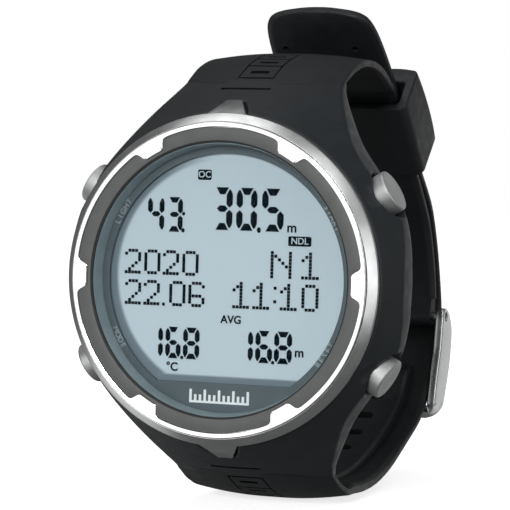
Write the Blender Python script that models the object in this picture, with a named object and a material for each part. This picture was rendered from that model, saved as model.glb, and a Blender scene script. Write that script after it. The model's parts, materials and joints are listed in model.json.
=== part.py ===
"""Wrist dive computer: case, bezel, display module, four sprung buttons and a buckled rubber strap.

Lengths are in millimetres here and become metres where a mesh is made. +Z points to 12 o'clock,
+X to 3 o'clock and -Y out of the display. The origin is the centre of the case back's wrist face.
A "depth" is a distance behind the front plane of the bezel, along +Y.
"""

from math import atan2, cos, hypot, pi, radians, sin

import bmesh
import bpy
from mathutils import Matrix, Vector
from mathutils.geometry import convex_hull_2d

MM = 0.001
CASE_THICKNESS = 17.0  # front plane of the bezel to the wrist face

# Bezel and glass: radii and depths
BEZEL_RADIUS = 24.4
BEZEL_INNER = 23.66
BEZEL_DEPTH = 3.4
TOOTH_TIP = 22.0
TOOTH_COUNT = 6
TOOTH_PROFILE = ((0.0, 0.0), (4.2, 0.0), (4.7, 0.35), (5.5, 1.2), (7.5, 1.66))  # degrees, rise
CARRIER_RADIUS = 25.85
CARRIER_SKIRT = 25.0
INSERT_INNER = 21.5
INSERT_TOP = 0.3
GLASS_RADIUS = 21.0
GLASS_TOP = 1.4
GLASS_THICKNESS = 1.8
WINDOW_RADIUS = 19.9
WINDOW_FLAT = -16.2
TAB_SIDE = ((1.5, 25.2), (5.85, 28.0), (6.5, 27.1), (2.9, 24.85))  # outer base and tip, inner tip and base
TAB_HALF_WIDTHS = (3.75, 1.2, 1.2, 3.75)
TAB_CLEARANCE = 0.5

# Case
SHOULDER_TOP = 2.3  # depth of the flat under the carrier
SHOULDER_START = 25.9
SHOULDER_SLOPE = 2.0  # depth gained per millimetre of radius
CASE_END = 31.2
CASE_STATIONS = (  # height, side half-width, side depth, back half-width, back depth
    (0.0, 28.2, 12.4, 24.6, 17.0),
    (6.0, 27.9, 12.4, 24.3, 17.0),
    (11.0, 26.8, 12.3, 23.2, 17.0),
    (14.5, 24.7, 12.1, 21.8, 17.0),
    (17.5, 21.9, 12.0, 20.3, 17.0),
    (21.5, 18.9, 12.9, 17.4, 17.3),
    (25.6, 16.4, 15.1, 15.1, 18.7),
    (29.5, 14.1, 17.9, 13.0, 21.2),
    (CASE_END, 13.4, 19.9, 12.5, 22.4),
)
BAY_RADIUS = 21.6
BAY_FLOOR = 13.5
LEDGE_RADIUS = 19.2
BACK_RADIUS = 21.8
BACK_THICKNESS = 1.8
BACK_SCREW_REACH = 16.4  # x and z of the screws
BACK_LOBE = 2.4
SEAL_RADIUS = 20.3
GAP = 0.3

# Buttons, in a frame whose +X is the button's own axis
BUTTON_ANGLES = (30.0, -30.0, -150.0, 150.0)
BUTTON_DEPTH = 9.5
BUTTON_FACE = 29.3
BUTTON_RADIUS = 3.35
BUTTON_HEIGHT = 2.8
SHAFT_RADIUS = 1.25
SHAFT_END = 19.6
BUSH_START = 21.7
BUSH_END = 25.0
BUSH_RADIUS = 3.1
SPRING_TURNS = 2.5

# Strap: points of the side view as (depth, height)
ROOT_STATIONS = (  # outer point, inner point, half-width, crown
    ((13.2, 31.5), (22.3, 31.5), 13.4, 5.5),
    ((18.0, 33.9), (23.3, 32.1), 13.4, 3.2),
    ((22.0, 35.3), (24.6, 33.1), 13.4, 2.0),
    ((26.2, 36.2), (27.2, 33.9), 13.3, 1.3),
)
UPPER_PATH = (  # outer face of the short half, from the root to the buckle pin
    (31.0, 36.6, 13.1), (37.0, 36.3, 12.6), (42.5, 35.2, 12.1), (47.6, 33.5, 11.6),
    (52.5, 31.3, 11.2), (60.0, 23.87, 11.1), (67.4, 16.5, 11.0), (70.9, 12.9, 11.0),
    (73.9, 9.2, 11.0), (76.4, 4.2, 11.0), (78.0, -0.5, 11.0), (78.8, -4.6, 11.0),
)
LOWER_PATH = (  # outer face of the long half, from the root through the buckle to the free end
    (31.0, -36.7, 13.0), (38.0, -36.7, 12.4), (46.0, -35.7, 11.9), (54.2, -33.4, 11.6),
    (62.9, -30.0, 11.3), (68.8, -26.9, 11.1), (72.9, -23.9, 11.0), (75.9, -19.8, 11.0),
    (78.6, -14.6, 11.0), (81.0, -10.2, 11.0), (82.0, -6.9, 11.0), (81.5, -3.1, 11.0),
    (78.7, 4.9, 11.0), (75.0, 12.2, 10.9), (68.5, 18.6, 10.8), (61.1, 26.0, 10.7),
    (54.0, 33.1, 10.5), (49.6, 37.6, 10.2), (45.6, 41.3, 9.8), (43.4, 43.3, 9.1),
    (42.6, 44.2, 8.0), (42.2, 44.7, 6.2), (42.0, 45.0, 3.8),
)
UPPER_THICKNESS = 2.2
LOWER_THICKNESS = 1.9
STRAP_CROWN = 0.5
STRAP_EDGE = 1.1
PAD_HALF_WIDTH = 7.8
PAD_THICKNESS = 3.8
PAD_POINTS = 16  # how many half-stations of the lower path the raised wrist pad covers
LUG_PIN = (18.6, 28.6)
LUG_PIN_RADIUS = 0.75
LUG_PIN_REACH = 11.8
KNUCKLE_HALF_WIDTH = 9.0
KNUCKLE_RADIUS = 2.0
SLOT_HALF_WIDTH = 4.6
SLOT_LENGTH = 2.0
SLOT_PITCH = 6.5
SLOT_RUNS = ((-33.6, 4), (-3.0, 3))  # height where a run of slots starts, and how many

# Keeper: t runs along the straight stretch of both layers, n points away from the wrist
KEEPER_AXIS = Vector((0.0, cos(radians(-45.0)), sin(radians(-45.0))))
KEEPER_OUT = Vector((0.0, cos(radians(45.0)), sin(radians(45.0))))
KEEPER_CENTRE = (23.3, 60.0)
KEEPER_LENGTH = 15.0
KEEPER_HALF_WIDTH = 13.3
KEEPER_HOLE = (11.6, 56.7, 62.2)  # half-width, lowest n, highest n
KEEPER_INNER_FACE = 55.3
KEEPER_CREST = ((-7.9, 65.7), (-4.5, 66.3), (0.0, 66.7), (4.5, 66.6), (7.9, 66.0))

# Buckle: u runs from the pin to the crossbar, v points away from the wrist
BUCKLE_PIN = (77.3, -8.0)
BUCKLE_TURN = radians(4.65)
BUCKLE_PIN_RADIUS = 0.75
BUCKLE_PIN_REACH = 12.9
RAIL_INNER = 11.7
RAIL_OUTER = 13.2
RAIL_OUTLINE = (
    (-1.6, 0.6), (-0.8, 2.2), (0.8, 3.6), (2.5, 4.3), (5.5, 4.3), (8.6, 3.9), (13.0, 2.5),
    (16.2, 1.2), (17.8, 0.4), (18.4, -0.6), (18.0, -1.7), (17.0, -2.2), (15.5, -1.9),
    (11.0, -0.8), (6.0, -0.4), (2.0, -1.5), (0.0, -1.8), (-1.4, -1.1),
)
CROSSBAR_OUTLINE = (
    (16.0, -0.9), (16.0, 0.6), (16.5, 1.1), (17.8, 0.4), (18.4, -0.6), (18.0, -1.7), (17.0, -2.2),
)
TONGUE_HALF_WIDTH = 3.5
TONGUE_ARM = (
    (0.6, -1.2), (1.4, -0.5), (16.0, 1.45), (18.9, 1.3), (19.2, 1.8), (18.8, 2.3),
    (16.0, 2.5), (1.4, 0.9), (0.6, 1.2),
)
TONGUE_SLOT = (2.3, 10.9)

COLOURS = {  # linear red, green, blue, then roughness and metallic
    "case_rubber": (0.014, 0.016, 0.018, 0.6, 0.0),
    "strap_rubber": (0.016, 0.018, 0.020, 0.65, 0.0),
    "satin_steel": (0.42, 0.43, 0.43, 0.34, 1.0),
    "polished_steel": (0.86, 0.86, 0.86, 0.08, 1.0),
    "insert_grey": (0.095, 0.102, 0.102, 0.5, 0.2),
    "glass": (0.9, 0.95, 0.95, 0.02, 0.0),
    "seal_rubber": (0.006, 0.006, 0.006, 0.7, 0.0),
    "mask_print": (0.075, 0.105, 0.125, 0.45, 0.0),
    "lcd_film": (0.42, 0.53, 0.58, 0.4, 0.0),
    "backlight": (0.8, 0.82, 0.78, 0.5, 0.0),
    "module_plastic": (0.05, 0.05, 0.05, 0.5, 0.0),
    "board_laminate": (0.01, 0.09, 0.04, 0.45, 0.0),
    "chip_resin": (0.012, 0.012, 0.012, 0.4, 0.0),
    "spring_steel": (0.6, 0.6, 0.6, 0.25, 1.0),
    "battery_can": (0.7, 0.7, 0.7, 0.22, 1.0),
    "brass": (0.62, 0.44, 0.18, 0.3, 1.0),
}


def at(x, depth, z):
    """A point from its depth behind the bezel's front plane."""
    return Vector((x, depth - CASE_THICKNESS, z))


def material(name):
    """The Principled material of this name, made on first use."""
    found = bpy.data.materials.get(name)
    if found:
        return found
    made = bpy.data.materials.new(name)
    made.use_nodes = True
    red, green, blue, roughness, metallic = COLOURS[name]
    shader = made.node_tree.nodes["Principled BSDF"]
    shader.inputs["Base Color"].default_value = (red, green, blue, 1.0)
    shader.inputs["Roughness"].default_value = roughness
    shader.inputs["Metallic"].default_value = metallic
    made.diffuse_color = (red, green, blue, 1.0)
    return made


def add(name, body, finish, origin=None, parent=None):
    """Makes an object in metres from a mesh in millimetres, with its origin at a chosen point."""
    origin = origin or Vector()
    bmesh.ops.recalc_face_normals(body, faces=body.faces)
    bmesh.ops.transform(body, matrix=Matrix.Scale(MM, 4) @ Matrix.Translation(-origin), verts=body.verts)
    mesh = bpy.data.meshes.new(name)
    body.to_mesh(mesh)
    body.free()
    mesh.materials.append(material(finish))
    mesh.shade_smooth()
    mesh.set_sharp_from_angle(angle=radians(32.0))
    made = bpy.data.objects.new(name, mesh)
    bpy.context.scene.collection.objects.link(made)
    made.location = origin * MM
    if parent:
        made.parent = parent
        made.location = origin * MM - parent.location
    return made


def temporary(body):
    """An object in millimetres that only lives while a Boolean is worked out."""
    bmesh.ops.recalc_face_normals(body, faces=body.faces)
    mesh = bpy.data.meshes.new("temporary")
    body.to_mesh(mesh)
    body.free()
    made = bpy.data.objects.new("temporary", mesh)
    bpy.context.scene.collection.objects.link(made)
    return made


def combine(body, tools, operation="DIFFERENCE"):
    """The body cut by, joined with or kept inside each tool in turn, with exact Booleans."""
    target = temporary(body)
    cutters = [temporary(tool) for tool in tools]
    for cutter in cutters:
        modifier = target.modifiers.new("combine", "BOOLEAN")
        modifier.operation = operation
        modifier.solver = "EXACT"
        modifier.object = cutter
    bpy.context.view_layer.update()
    graph = bpy.context.evaluated_depsgraph_get()
    result = bmesh.new()
    result.from_object(target, graph)
    for used in [target] + cutters:
        bpy.data.objects.remove(used)
    return result


def skin(rings, capped=True, closed=False):
    """A mesh through rings of equal point counts: capped ends, or closed back onto the first ring."""
    body = bmesh.new()
    rows = [[body.verts.new(point) for point in ring] for ring in rings]
    pairs = list(zip(rows, rows[1:]))
    if closed:
        pairs.append((rows[-1], rows[0]))
    for first, second in pairs:
        for i in range(len(first)):
            j = (i + 1) % len(first)
            body.faces.new((first[i], first[j], second[j], second[i]))
    if capped and not closed:
        body.faces.new(rows[0])
        body.faces.new(rows[-1])
    return body


def circle(radius, count, centre=(0.0, 0.0), phase=0.0):
    """Points of a circle in a plane. phase turns it by a share of a step."""
    turns = [2.0 * pi * (i + phase) / count for i in range(count)]
    return [(centre[0] + radius * cos(a), centre[1] + radius * sin(a)) for a in turns]


def plate(outline, front, back):
    """An outline of (x, z) points, extruded between two depths."""
    return skin([[at(x, depth, z) for x, z in outline] for depth in (front, back)])


def slab(x, depth, z):
    """A box from three (low, high) pairs."""
    outline = ((x[0], z[0]), (x[1], z[0]), (x[1], z[1]), (x[0], z[1]))
    return plate(outline, *depth)


def swept(profile_at, angles):
    """A ring about the display's axis, with the closed (radius, depth) profile of each angle."""
    rings = []
    for a in angles:
        rings.append([at(r * cos(a), depth, r * sin(a)) for r, depth in profile_at(a)])
    return skin(rings, closed=True)


def turned(profile, count):
    """A ring about the display's axis with one profile all the way round."""
    return swept(lambda angle: profile, [2.0 * pi * i / count for i in range(count)])


def rod(start, end, radius, count):
    """A cylinder between two points."""
    axis = (end - start).normalized()
    side = axis.orthogonal().normalized()
    if abs(axis.x) > 0.9:
        side = Vector((0.0, 1.0, 0.0))
    other = axis.cross(side)
    ends = [[centre + side * a + other * b for a, b in circle(radius, count)] for centre in (start, end)]
    return skin(ends)


def across(outline, low, high):
    """An outline of (depth, height) points, extruded along X."""
    return skin([[at(x, depth, z) for depth, z in outline] for x in (low, high)])


def mirrored(points):
    """The same (depth, height) points below the display's centre."""
    return [(depth, -z) for depth, z in points]


# ---------------------------------------------------------------- bezel, glass and display


def tooth_angles():
    """Angles that carry the teeth's corners, with even steps between the teeth."""
    found = []
    for tooth in range(TOOTH_COUNT):
        centre = tooth * 360.0 / TOOTH_COUNT
        corners = [a for a, _ in TOOTH_PROFILE]
        offsets = [-a for a in reversed(corners[1:])] + corners + [15.0, 22.5, 30.0, 37.5, 45.0]
        found += [radians(centre + a) for a in offsets]
    return found


def ring_inner(angle):
    """Inner radius of the toothed ring at an angle."""
    step = 360.0 / TOOTH_COUNT
    off = abs((angle * 180.0 / pi + step / 2.0) % step - step / 2.0)
    for (low, low_rise), (high, high_rise) in zip(TOOTH_PROFILE, TOOTH_PROFILE[1:]):
        if off <= high + 1e-6:
            share = max(0.0, (off - low) / (high - low))
            return TOOTH_TIP + low_rise + share * (high_rise - low_rise)
    return BEZEL_INNER


def bezel_profile(angle):
    inner = ring_inner(angle)
    return (
        (inner, 0.0), (BEZEL_RADIUS, 0.0), (BEZEL_RADIUS, BEZEL_DEPTH), (22.6, BEZEL_DEPTH),
        (22.6, 1.3), (inner, 1.3),
    )


def insert_profile(angle):
    outer = ring_inner(angle) - 0.15
    return ((INSERT_INNER, INSERT_TOP), (outer, INSERT_TOP), (outer, 1.1), (INSERT_INNER, 1.1))


def tab(sign, grow=0.0, lift=0.0):
    """The pointed tab of the carrier. grow and lift make the open pocket that it sits in."""
    centre = sum((Vector(p) for p in TAB_SIDE), Vector((0.0, 0.0))) / len(TAB_SIDE)
    sides = ([], [])
    for number, (point, half) in enumerate(zip(TAB_SIDE, TAB_HALF_WIDTHS)):
        corner = Vector(point)
        corner += (corner - centre).normalized() * grow
        for side, row in zip((-1, 1), sides):
            depth = corner.x - (lift if number < 2 else 0.0)
            row.append(at(side * (half + grow), depth, sign * corner.y))
    return skin(sides)


def make_bezel():
    angles = tooth_angles()
    add("bezel_ring", swept(bezel_profile, angles), "polished_steel")
    add("bezel_insert", swept(insert_profile, angles), "insert_grey")
    carrier = (
        (24.7, 0.4), (CARRIER_RADIUS, 1.7), (CARRIER_RADIUS, 2.1), (CARRIER_SKIRT, 2.1),
        (CARRIER_SKIRT, 5.2), (22.6, 5.2), (22.6, 3.7), (24.7, 3.7),
    )
    ring = combine(turned(carrier, 56), [tab(1), tab(-1)], "UNION")
    add("bezel_carrier", ring, "satin_steel")


def make_glass():
    bottom = GLASS_TOP + GLASS_THICKNESS
    add("lens", plate(circle(GLASS_RADIUS, 48), GLASS_TOP, bottom), "glass")
    gasket = ((21.15, 1.45), (22.3, 1.45), (22.3, 5.0), (21.15, 5.0))
    add("lens_gasket", turned(gasket, 36), "seal_rubber")


def window_outline(radius, flat):
    """A circle cut off along a level line near its foot."""
    turn = atan2(flat, (radius**2 - flat**2) ** 0.5)
    span = pi - 2.0 * turn
    return [(radius * cos(turn + span * i / 47), radius * sin(turn + span * i / 47)) for i in range(48)]


def make_display():
    window = plate(window_outline(WINDOW_RADIUS, WINDOW_FLAT), 3.0, 4.4)
    add("display_mask", combine(plate(circle(20.95, 40), 3.5, 3.9), [window]), "mask_print")
    add("lcd_panel", plate(circle(19.9, 32), 4.2, 5.6), "lcd_film")
    add("backlight_panel", slab((-13.0, 13.0), (5.9, 6.7), (-12.0, 12.0)), "backlight")
    frame = ((20.8, 4.2), (20.8, 7.2), (18.4, 7.2), (18.4, 6.0), (20.1, 6.0), (20.1, 4.2))
    add("module_frame", turned(frame, 32), "module_plastic")
    for name, z in (("zebra_strip_top", 15.4), ("zebra_strip_bottom", -15.4)):
        add(name, slab((-8.5, 8.5), (5.8, 8.1), (z - 0.8, z + 0.8)), "seal_rubber")


def make_electronics():
    add("main_board", plate(circle(17.8, 40), 8.3, 9.1), "board_laminate")
    add("processor", slab((-3.5, 3.5), (9.3, 10.3), (-3.5, 3.5)), "chip_resin")
    add("battery", plate(circle(12.0, 40), 10.9, 14.1), "battery_can")
    under = slab((-12.9, 12.9), (8.9, 14.35), (-3.0, 3.0))
    add("battery_clip", combine(slab((-13.6, 13.6), (9.3, 14.8), (-2.2, 2.2)), [under]), "brass")
    sensor = at(0.0, 9.3, 15.2)
    add("pressure_sensor", rod(sensor, at(0.0, 14.4, 15.2), 2.4, 24), "spring_steel")
    port = plate(circle(1.7, 24, (0.0, 15.2)), 14.0, 15.6)
    seal = combine(plate(circle(2.3, 24, (0.0, 15.2)), 14.6, 15.05), [port])
    add("sensor_seal", seal, "seal_rubber")
    add("buzzer", plate(circle(3.4, 24, (0.0, -15.9)), 14.55, 14.95), "brass")


# ---------------------------------------------------------------- case


def case_section(station, z):
    _, side, side_depth, back, back_depth = station
    half = ((side, SHOULDER_TOP - 1.0), (side, side_depth), (back, back_depth))
    right = [at(x, depth, z) for x, depth in half]
    left = [at(-x, depth, z) for x, depth in reversed(half)]
    return right + left


def back_outline(grow):
    """The case back's outline: a disc drawn out to its four screw lobes."""
    points = circle(BACK_RADIUS + grow, 48)
    for sx in (-1, 1):
        for sz in (-1, 1):
            points += circle(BACK_LOBE + grow, 12, (sx * BACK_SCREW_REACH, sz * BACK_SCREW_REACH))
    order = convex_hull_2d([Vector(p) for p in points])
    return [points[i] for i in order]


def lug_pocket(sign):
    z = sorted((sign * 26.4, sign * 33.0))
    return slab((-9.3, 9.3), (15.9, 25.0), z)


def lug_pin_hole(sign):
    depth, z = LUG_PIN
    return rod(at(-12.2, depth, sign * z), at(12.2, depth, sign * z), LUG_PIN_RADIUS + 0.1, 16)


def make_case():
    below = [case_section(s, -s[0]) for s in reversed(CASE_STATIONS[1:])]
    above = [case_section(s, s[0]) for s in CASE_STATIONS]
    reach = 14.0
    far = SHOULDER_TOP + SHOULDER_SLOPE * reach
    dome = [
        [at(x, depth, z) for x, z in circle(radius, 64)]
        for radius, depth in ((SHOULDER_START, SHOULDER_TOP), (SHOULDER_START + reach, far))
    ]
    case = combine(skin(below + above), [skin(dome)], "INTERSECT")
    tools = [
        plate(circle(CARRIER_SKIRT + GAP, 56), 1.0, 5.5),
        plate(circle(BAY_RADIUS, 40), 5.0, BAY_FLOOR),
        plate(circle(LEDGE_RADIUS, 32, phase=0.4), 13.0, 18.0),
        plate(back_outline(GAP), CASE_THICKNESS - BACK_THICKNESS - 0.2, 19.0),
        plate(circle(20.8, 32, phase=0.7), 14.2, 15.6),
        tab(1, TAB_CLEARANCE, 1.5), tab(-1, TAB_CLEARANCE, 1.5),
        lug_pocket(1), lug_pocket(-1), lug_pin_hole(1), lug_pin_hole(-1),
    ]
    for sx in (-1, 1):
        for sz in (-1, 1):
            x, z = sx * BACK_SCREW_REACH, sz * BACK_SCREW_REACH
            tools.append(plate(circle(0.85, 12, (x, z)), 12.6, 16.0))
    for angle in BUTTON_ANGLES:
        tools += [
            button_rod(angle, 18.0, 28.0, BUSH_RADIUS + 0.2, 16),
            button_rod(angle, 25.3, 31.0, BUTTON_RADIUS + 0.35, 20),
            button_rod(angle, 26.4, 33.0, BUTTON_RADIUS + 1.0, 24),
        ]
    add("case_body", combine(case, tools), "case_rubber")


def make_case_back():
    top = CASE_THICKNESS - BACK_THICKNESS
    tools = [
        plate(circle(3.1, 24, (0.0, 15.2)), 16.3, 18.0),
        plate(circle(1.6, 16, (0.0, 15.2)), 15.0, 17.0),
    ]
    for sx in (-1, 1):
        for sz in (-1, 1):
            centre = (sx * BACK_SCREW_REACH, sz * BACK_SCREW_REACH)
            tools.append(plate(circle(0.85, 12, centre), 15.0, 17.5))
            tools.append(plate(circle(1.55, 16, centre), 16.0, 17.5))
    back = combine(plate(back_outline(0.0), top, CASE_THICKNESS), tools)
    add("case_back", back, "satin_steel")
    seal = ((19.95, 14.35), (20.65, 14.35), (20.65, 15.05), (19.95, 15.05))
    add("case_back_seal", turned(seal, 32), "seal_rubber")
    holes = [(0.0, 0.0)] + circle(1.6, 6)
    tools = [plate(circle(0.42, 8, (x, 15.2 + z)), 16.0, 17.3) for x, z in holes]
    grille = combine(plate(circle(2.8, 24, (0.0, 15.2)), 16.45, 16.85), tools)
    add("sensor_grille", grille, "satin_steel")


def make_back_screws():
    number = 0
    for sx in (1, -1):
        for sz in (1, -1):
            number += 1
            centre = (sx * BACK_SCREW_REACH, sz * BACK_SCREW_REACH)
            thread = plate(circle(0.7, 12, centre), 12.9, 16.3)
            screw = combine(plate(circle(1.35, 16, centre), 16.15, 16.8), [thread], "UNION")
            x, z = centre
            slots = [
                slab((x - 1.0, x + 1.0), (16.5, 17.2), (z - 0.2, z + 0.2)),
                slab((x - 0.2, x + 0.2), (16.5, 17.2), (z - 1.0, z + 1.0)),
            ]
            add(f"back_screw_{number}", combine(screw, slots), "satin_steel")


# ---------------------------------------------------------------- buttons


def on_button(angle, along, side=0.0, deep=0.0):
    """A point from its distance along a button's axis, sideways and along the depth."""
    a = radians(angle)
    return at(along * cos(a) - side * sin(a), BUTTON_DEPTH + deep, along * sin(a) + side * cos(a))


def button_rod(angle, start, end, radius, count):
    rings = [[on_button(angle, s, a, b) for a, b in circle(radius, count)] for s in (start, end)]
    return skin(rings)


def button_turned(angle, profile, count):
    """A ring about a button's axis from a closed profile of (along, radius)."""
    rings = []
    for i in range(count):
        turn = 2.0 * pi * i / count
        rings.append([on_button(angle, s, r * cos(turn), r * sin(turn)) for s, r in profile])
    return skin(rings, closed=True)


def button_spring(angle):
    """A round-wire coil between the bush and the cap."""
    wire, coil = 0.17, 2.0
    start, end = BUSH_END + 0.25, BUTTON_FACE - BUTTON_HEIGHT - 0.2
    count = int(12 * SPRING_TURNS)
    rings = []
    for i in range(count + 1):
        turn = 2.0 * pi * SPRING_TURNS * i / count
        along = start + wire + (end - start - 2.0 * wire) * i / count
        ring = []
        for a, b in circle(wire, 5):
            ring.append(on_button(angle, along + b, (coil + a) * cos(turn), (coil + a) * sin(turn)))
        rings.append(ring)
    return skin(rings)


def make_button(number, angle):
    face = on_button(angle, BUTTON_FACE)
    axis = bpy.data.objects.new(f"button_axis_{number}", None)
    axis.location = face * MM
    bpy.context.scene.collection.objects.link(axis)
    under = BUTTON_FACE - BUTTON_HEIGHT
    chamfer = 0.35
    cap = (
        (under, BUTTON_RADIUS), (BUTTON_FACE - chamfer, BUTTON_RADIUS),
        (BUTTON_FACE, BUTTON_RADIUS - chamfer),
    )
    rings = [[on_button(angle, s, a, b) for a, b in circle(r, 24)] for s, r in cap]
    shaft = button_rod(angle, SHAFT_END, under + 0.5, SHAFT_RADIUS, 16)
    add(f"button_{number}", combine(skin(rings), [shaft], "UNION"), "satin_steel", face, axis)
    bush = ((BUSH_START, 2.45), (BUSH_START, BUSH_RADIUS), (BUSH_END, BUSH_RADIUS), (BUSH_END, 1.34),
            (22.7, 1.34), (22.7, 2.45))
    add(f"button_bush_{number}", button_turned(angle, bush, 16), "brass")
    seal = ((21.85, 1.36), (21.85, 2.3), (22.6, 2.3), (22.6, 1.36))
    add(f"button_seal_{number}", button_turned(angle, seal, 12), "seal_rubber")
    clip = ((21.15, 1.36), (21.15, 1.95), (21.6, 1.95), (21.6, 1.36))
    add(f"button_clip_{number}", button_turned(angle, clip, 12), "spring_steel", face, axis)
    add(f"button_spring_{number}", button_spring(angle), "spring_steel")
    low, high = 16.3, 18.4
    corners = ((-1.7, -0.15), (1.7, -0.15), (1.7, 1.6), (-1.7, 1.6))
    box = [[on_button(angle, s, a, b) for a, b in corners] for s in (low, high)]
    add(f"switch_{number}", skin(box), "chip_resin")


# ---------------------------------------------------------------- strap and buckle


def smooth_path(points, steps):
    """Catmull-Rom points through (depth, height, half-width) stations."""
    stations = [Vector(p) for p in points]
    stations = [2 * stations[0] - stations[1]] + stations + [2 * stations[-1] - stations[-2]]
    found = []
    for a, b, c, d in zip(stations, stations[1:], stations[2:], stations[3:]):
        for i in range(steps):
            t = i / steps
            square = (2 * a - 5 * b + 4 * c - d) * t * t
            cube = (3 * b - a - 3 * c + d) * t**3
            found.append(0.5 * (2 * b + (c - a) * t + square + cube))
    return found + [stations[-2]]


def band_ring(outer, inner, half, crown):
    """One cross-section of the strap, crowned outside and flat inside, with chamfered edges."""
    outer_point = Vector(outer)
    down = Vector(inner) - outer_point
    thick = down.length
    down.normalize()
    edge = min(crown + STRAP_EDGE, thick - 0.05)
    shape = (
        (-half, edge), (-half, crown), (-half * 0.66, crown * 0.42), (-half * 0.3, crown * 0.09),
        (half * 0.3, crown * 0.09), (half * 0.66, crown * 0.42), (half, crown), (half, edge),
        (half - 0.9, thick), (-half + 0.9, thick),
    )
    return [at(x, *(outer_point + down * t)) for x, t in shape]


def band_rings(path, thickness, inward):
    """Cross-sections along a path; inward is +1 where the wrist lies to the path's right."""
    rings = []
    for i, point in enumerate(path):
        before, after = path[max(i - 1, 0)], path[min(i + 1, len(path) - 1)]
        along = Vector((after.x - before.x, after.y - before.y)).normalized()
        normal = Vector((along.y, -along.x)) * inward
        outer = Vector((point.x, point.y))
        rings.append(band_ring(outer, outer + normal * thickness, point.z, STRAP_CROWN))
    return rings


def knuckle(sign):
    """The block of a strap root that the lug pin goes through."""
    depth, z = LUG_PIN
    outline = [(depth + a, sign * (z + b)) for a, b in circle(KNUCKLE_RADIUS, 16)]
    outline += [(17.9, sign * 32.3), (21.4, sign * 32.3)]
    order = convex_hull_2d([Vector(p) for p in outline])
    return across([outline[i] for i in order], -KNUCKLE_HALF_WIDTH, KNUCKLE_HALF_WIDTH)


def make_upper_strap():
    roots = [band_ring(o, i, w, c) for o, i, w, c in ROOT_STATIONS]
    rings = roots + band_rings(smooth_path(UPPER_PATH, 2), UPPER_THICKNESS, 1.0)
    depth, z = BUCKLE_PIN
    end = [(depth + a, z + b) for a, b in circle(1.8, 20)]
    end += [(78.55, -4.0), (76.75, -4.4)]
    order = convex_hull_2d([Vector(p) for p in end])
    eye = across([end[i] for i in order], -10.6, 10.6)
    strap = combine(skin(rings), [knuckle(1), eye], "UNION")
    pin = rod(at(-14.0, depth, z), at(14.0, depth, z), BUCKLE_PIN_RADIUS + 0.1, 16)
    notch = slab((-TONGUE_HALF_WIDTH - 0.4, TONGUE_HALF_WIDTH + 0.4), (74.0, 81.0), (-11.0, -5.7))
    add("strap_upper", combine(strap, [pin, notch, lug_pin_hole(1)]), "strap_rubber")


def slot_tool(path, index):
    """A rounded slot through the strap at a point of its path."""
    here, after = path[index], path[index + 1]
    along = Vector((0.0, after.x - here.x, after.y - here.y)).normalized()
    out = along.cross(Vector((1.0, 0.0, 0.0)))
    centre = at(0.0, here.x, here.y)
    half = SLOT_LENGTH / 2.0
    reach = SLOT_HALF_WIDTH - half
    outline = []
    for sign, first in ((1, -90.0), (-1, 90.0)):
        for turn in (0, 60, 120, 180):
            a = radians(first + turn)
            outline.append((sign * reach + half * cos(a), half * sin(a)))
    rings = []
    for lift in (-4.0, 4.0):
        rings.append([centre + Vector((x, 0.0, 0.0)) + along * s + out * lift for x, s in outline])
    return skin(rings)


def slot_places(path):
    """Indices of the path where each run of slots has one, a pitch apart."""
    found = []
    for start_z, count in SLOT_RUNS:
        index = next(i for i, p in enumerate(path) if p.x > 50.0 and p.y > start_z)
        travelled, made = SLOT_PITCH, 0
        while made < count:
            if travelled >= SLOT_PITCH:
                found.append(index)
                made += 1
                travelled = 0.0
            travelled += hypot(path[index + 1].x - path[index].x, path[index + 1].y - path[index].y)
            index += 1
    return found


def pad_rings(path):
    """The raised pad on the wrist side of the long half, which runs out into the band at both ends."""
    rings = []
    for i, point in enumerate(path):
        before, after = path[max(i - 1, 0)], path[min(i + 1, len(path) - 1)]
        down = Vector((before.y - after.y, after.x - before.x)).normalized()
        sunk = LOWER_THICKNESS - 0.3
        thick = sunk if i in (0, len(path) - 1) else PAD_THICKNESS
        edge, half = (sunk + thick) / 2.0, PAD_HALF_WIDTH
        shape = (
            (-half, sunk - 0.4), (half, sunk - 0.4), (half, edge), (half - 0.5, thick),
            (-half + 0.5, thick), (-half, edge),
        )
        outer = Vector((point.x, point.y))
        rings.append([at(x, *(outer + down * t)) for x, t in shape])
    return rings


def make_lower_strap():
    roots = []
    for outer, inner, half, crown in ROOT_STATIONS:
        outer, inner = mirrored([outer, inner])
        roots.append(band_ring(outer, inner, half, crown))
    path = smooth_path(LOWER_PATH, 2)
    rings = roots + band_rings(path, LOWER_THICKNESS, -1.0)
    strap = combine(skin(rings), [knuckle(-1), skin(pad_rings(path[:PAD_POINTS]))], "UNION")
    fine = smooth_path(LOWER_PATH, 16)
    tools = [slot_tool(fine, i) for i in slot_places(fine)]
    low, high = TONGUE_SLOT
    window = [(low, -5.0), (high, -5.0), (high, 7.0), (low, 7.0)]
    half = TONGUE_HALF_WIDTH + 0.6
    tools.append(across([buckle_point(u, v) for u, v in window], -half, half))
    add("strap_lower", combine(strap, tools + [lug_pin_hole(-1)]), "strap_rubber")


def buckle_point(u, v):
    """(depth, height) of a point of the buckle's own side view."""
    depth, z = BUCKLE_PIN
    c, s = cos(BUCKLE_TURN), sin(BUCKLE_TURN)
    return (depth - u * s + v * c, z - u * c - v * s)


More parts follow.
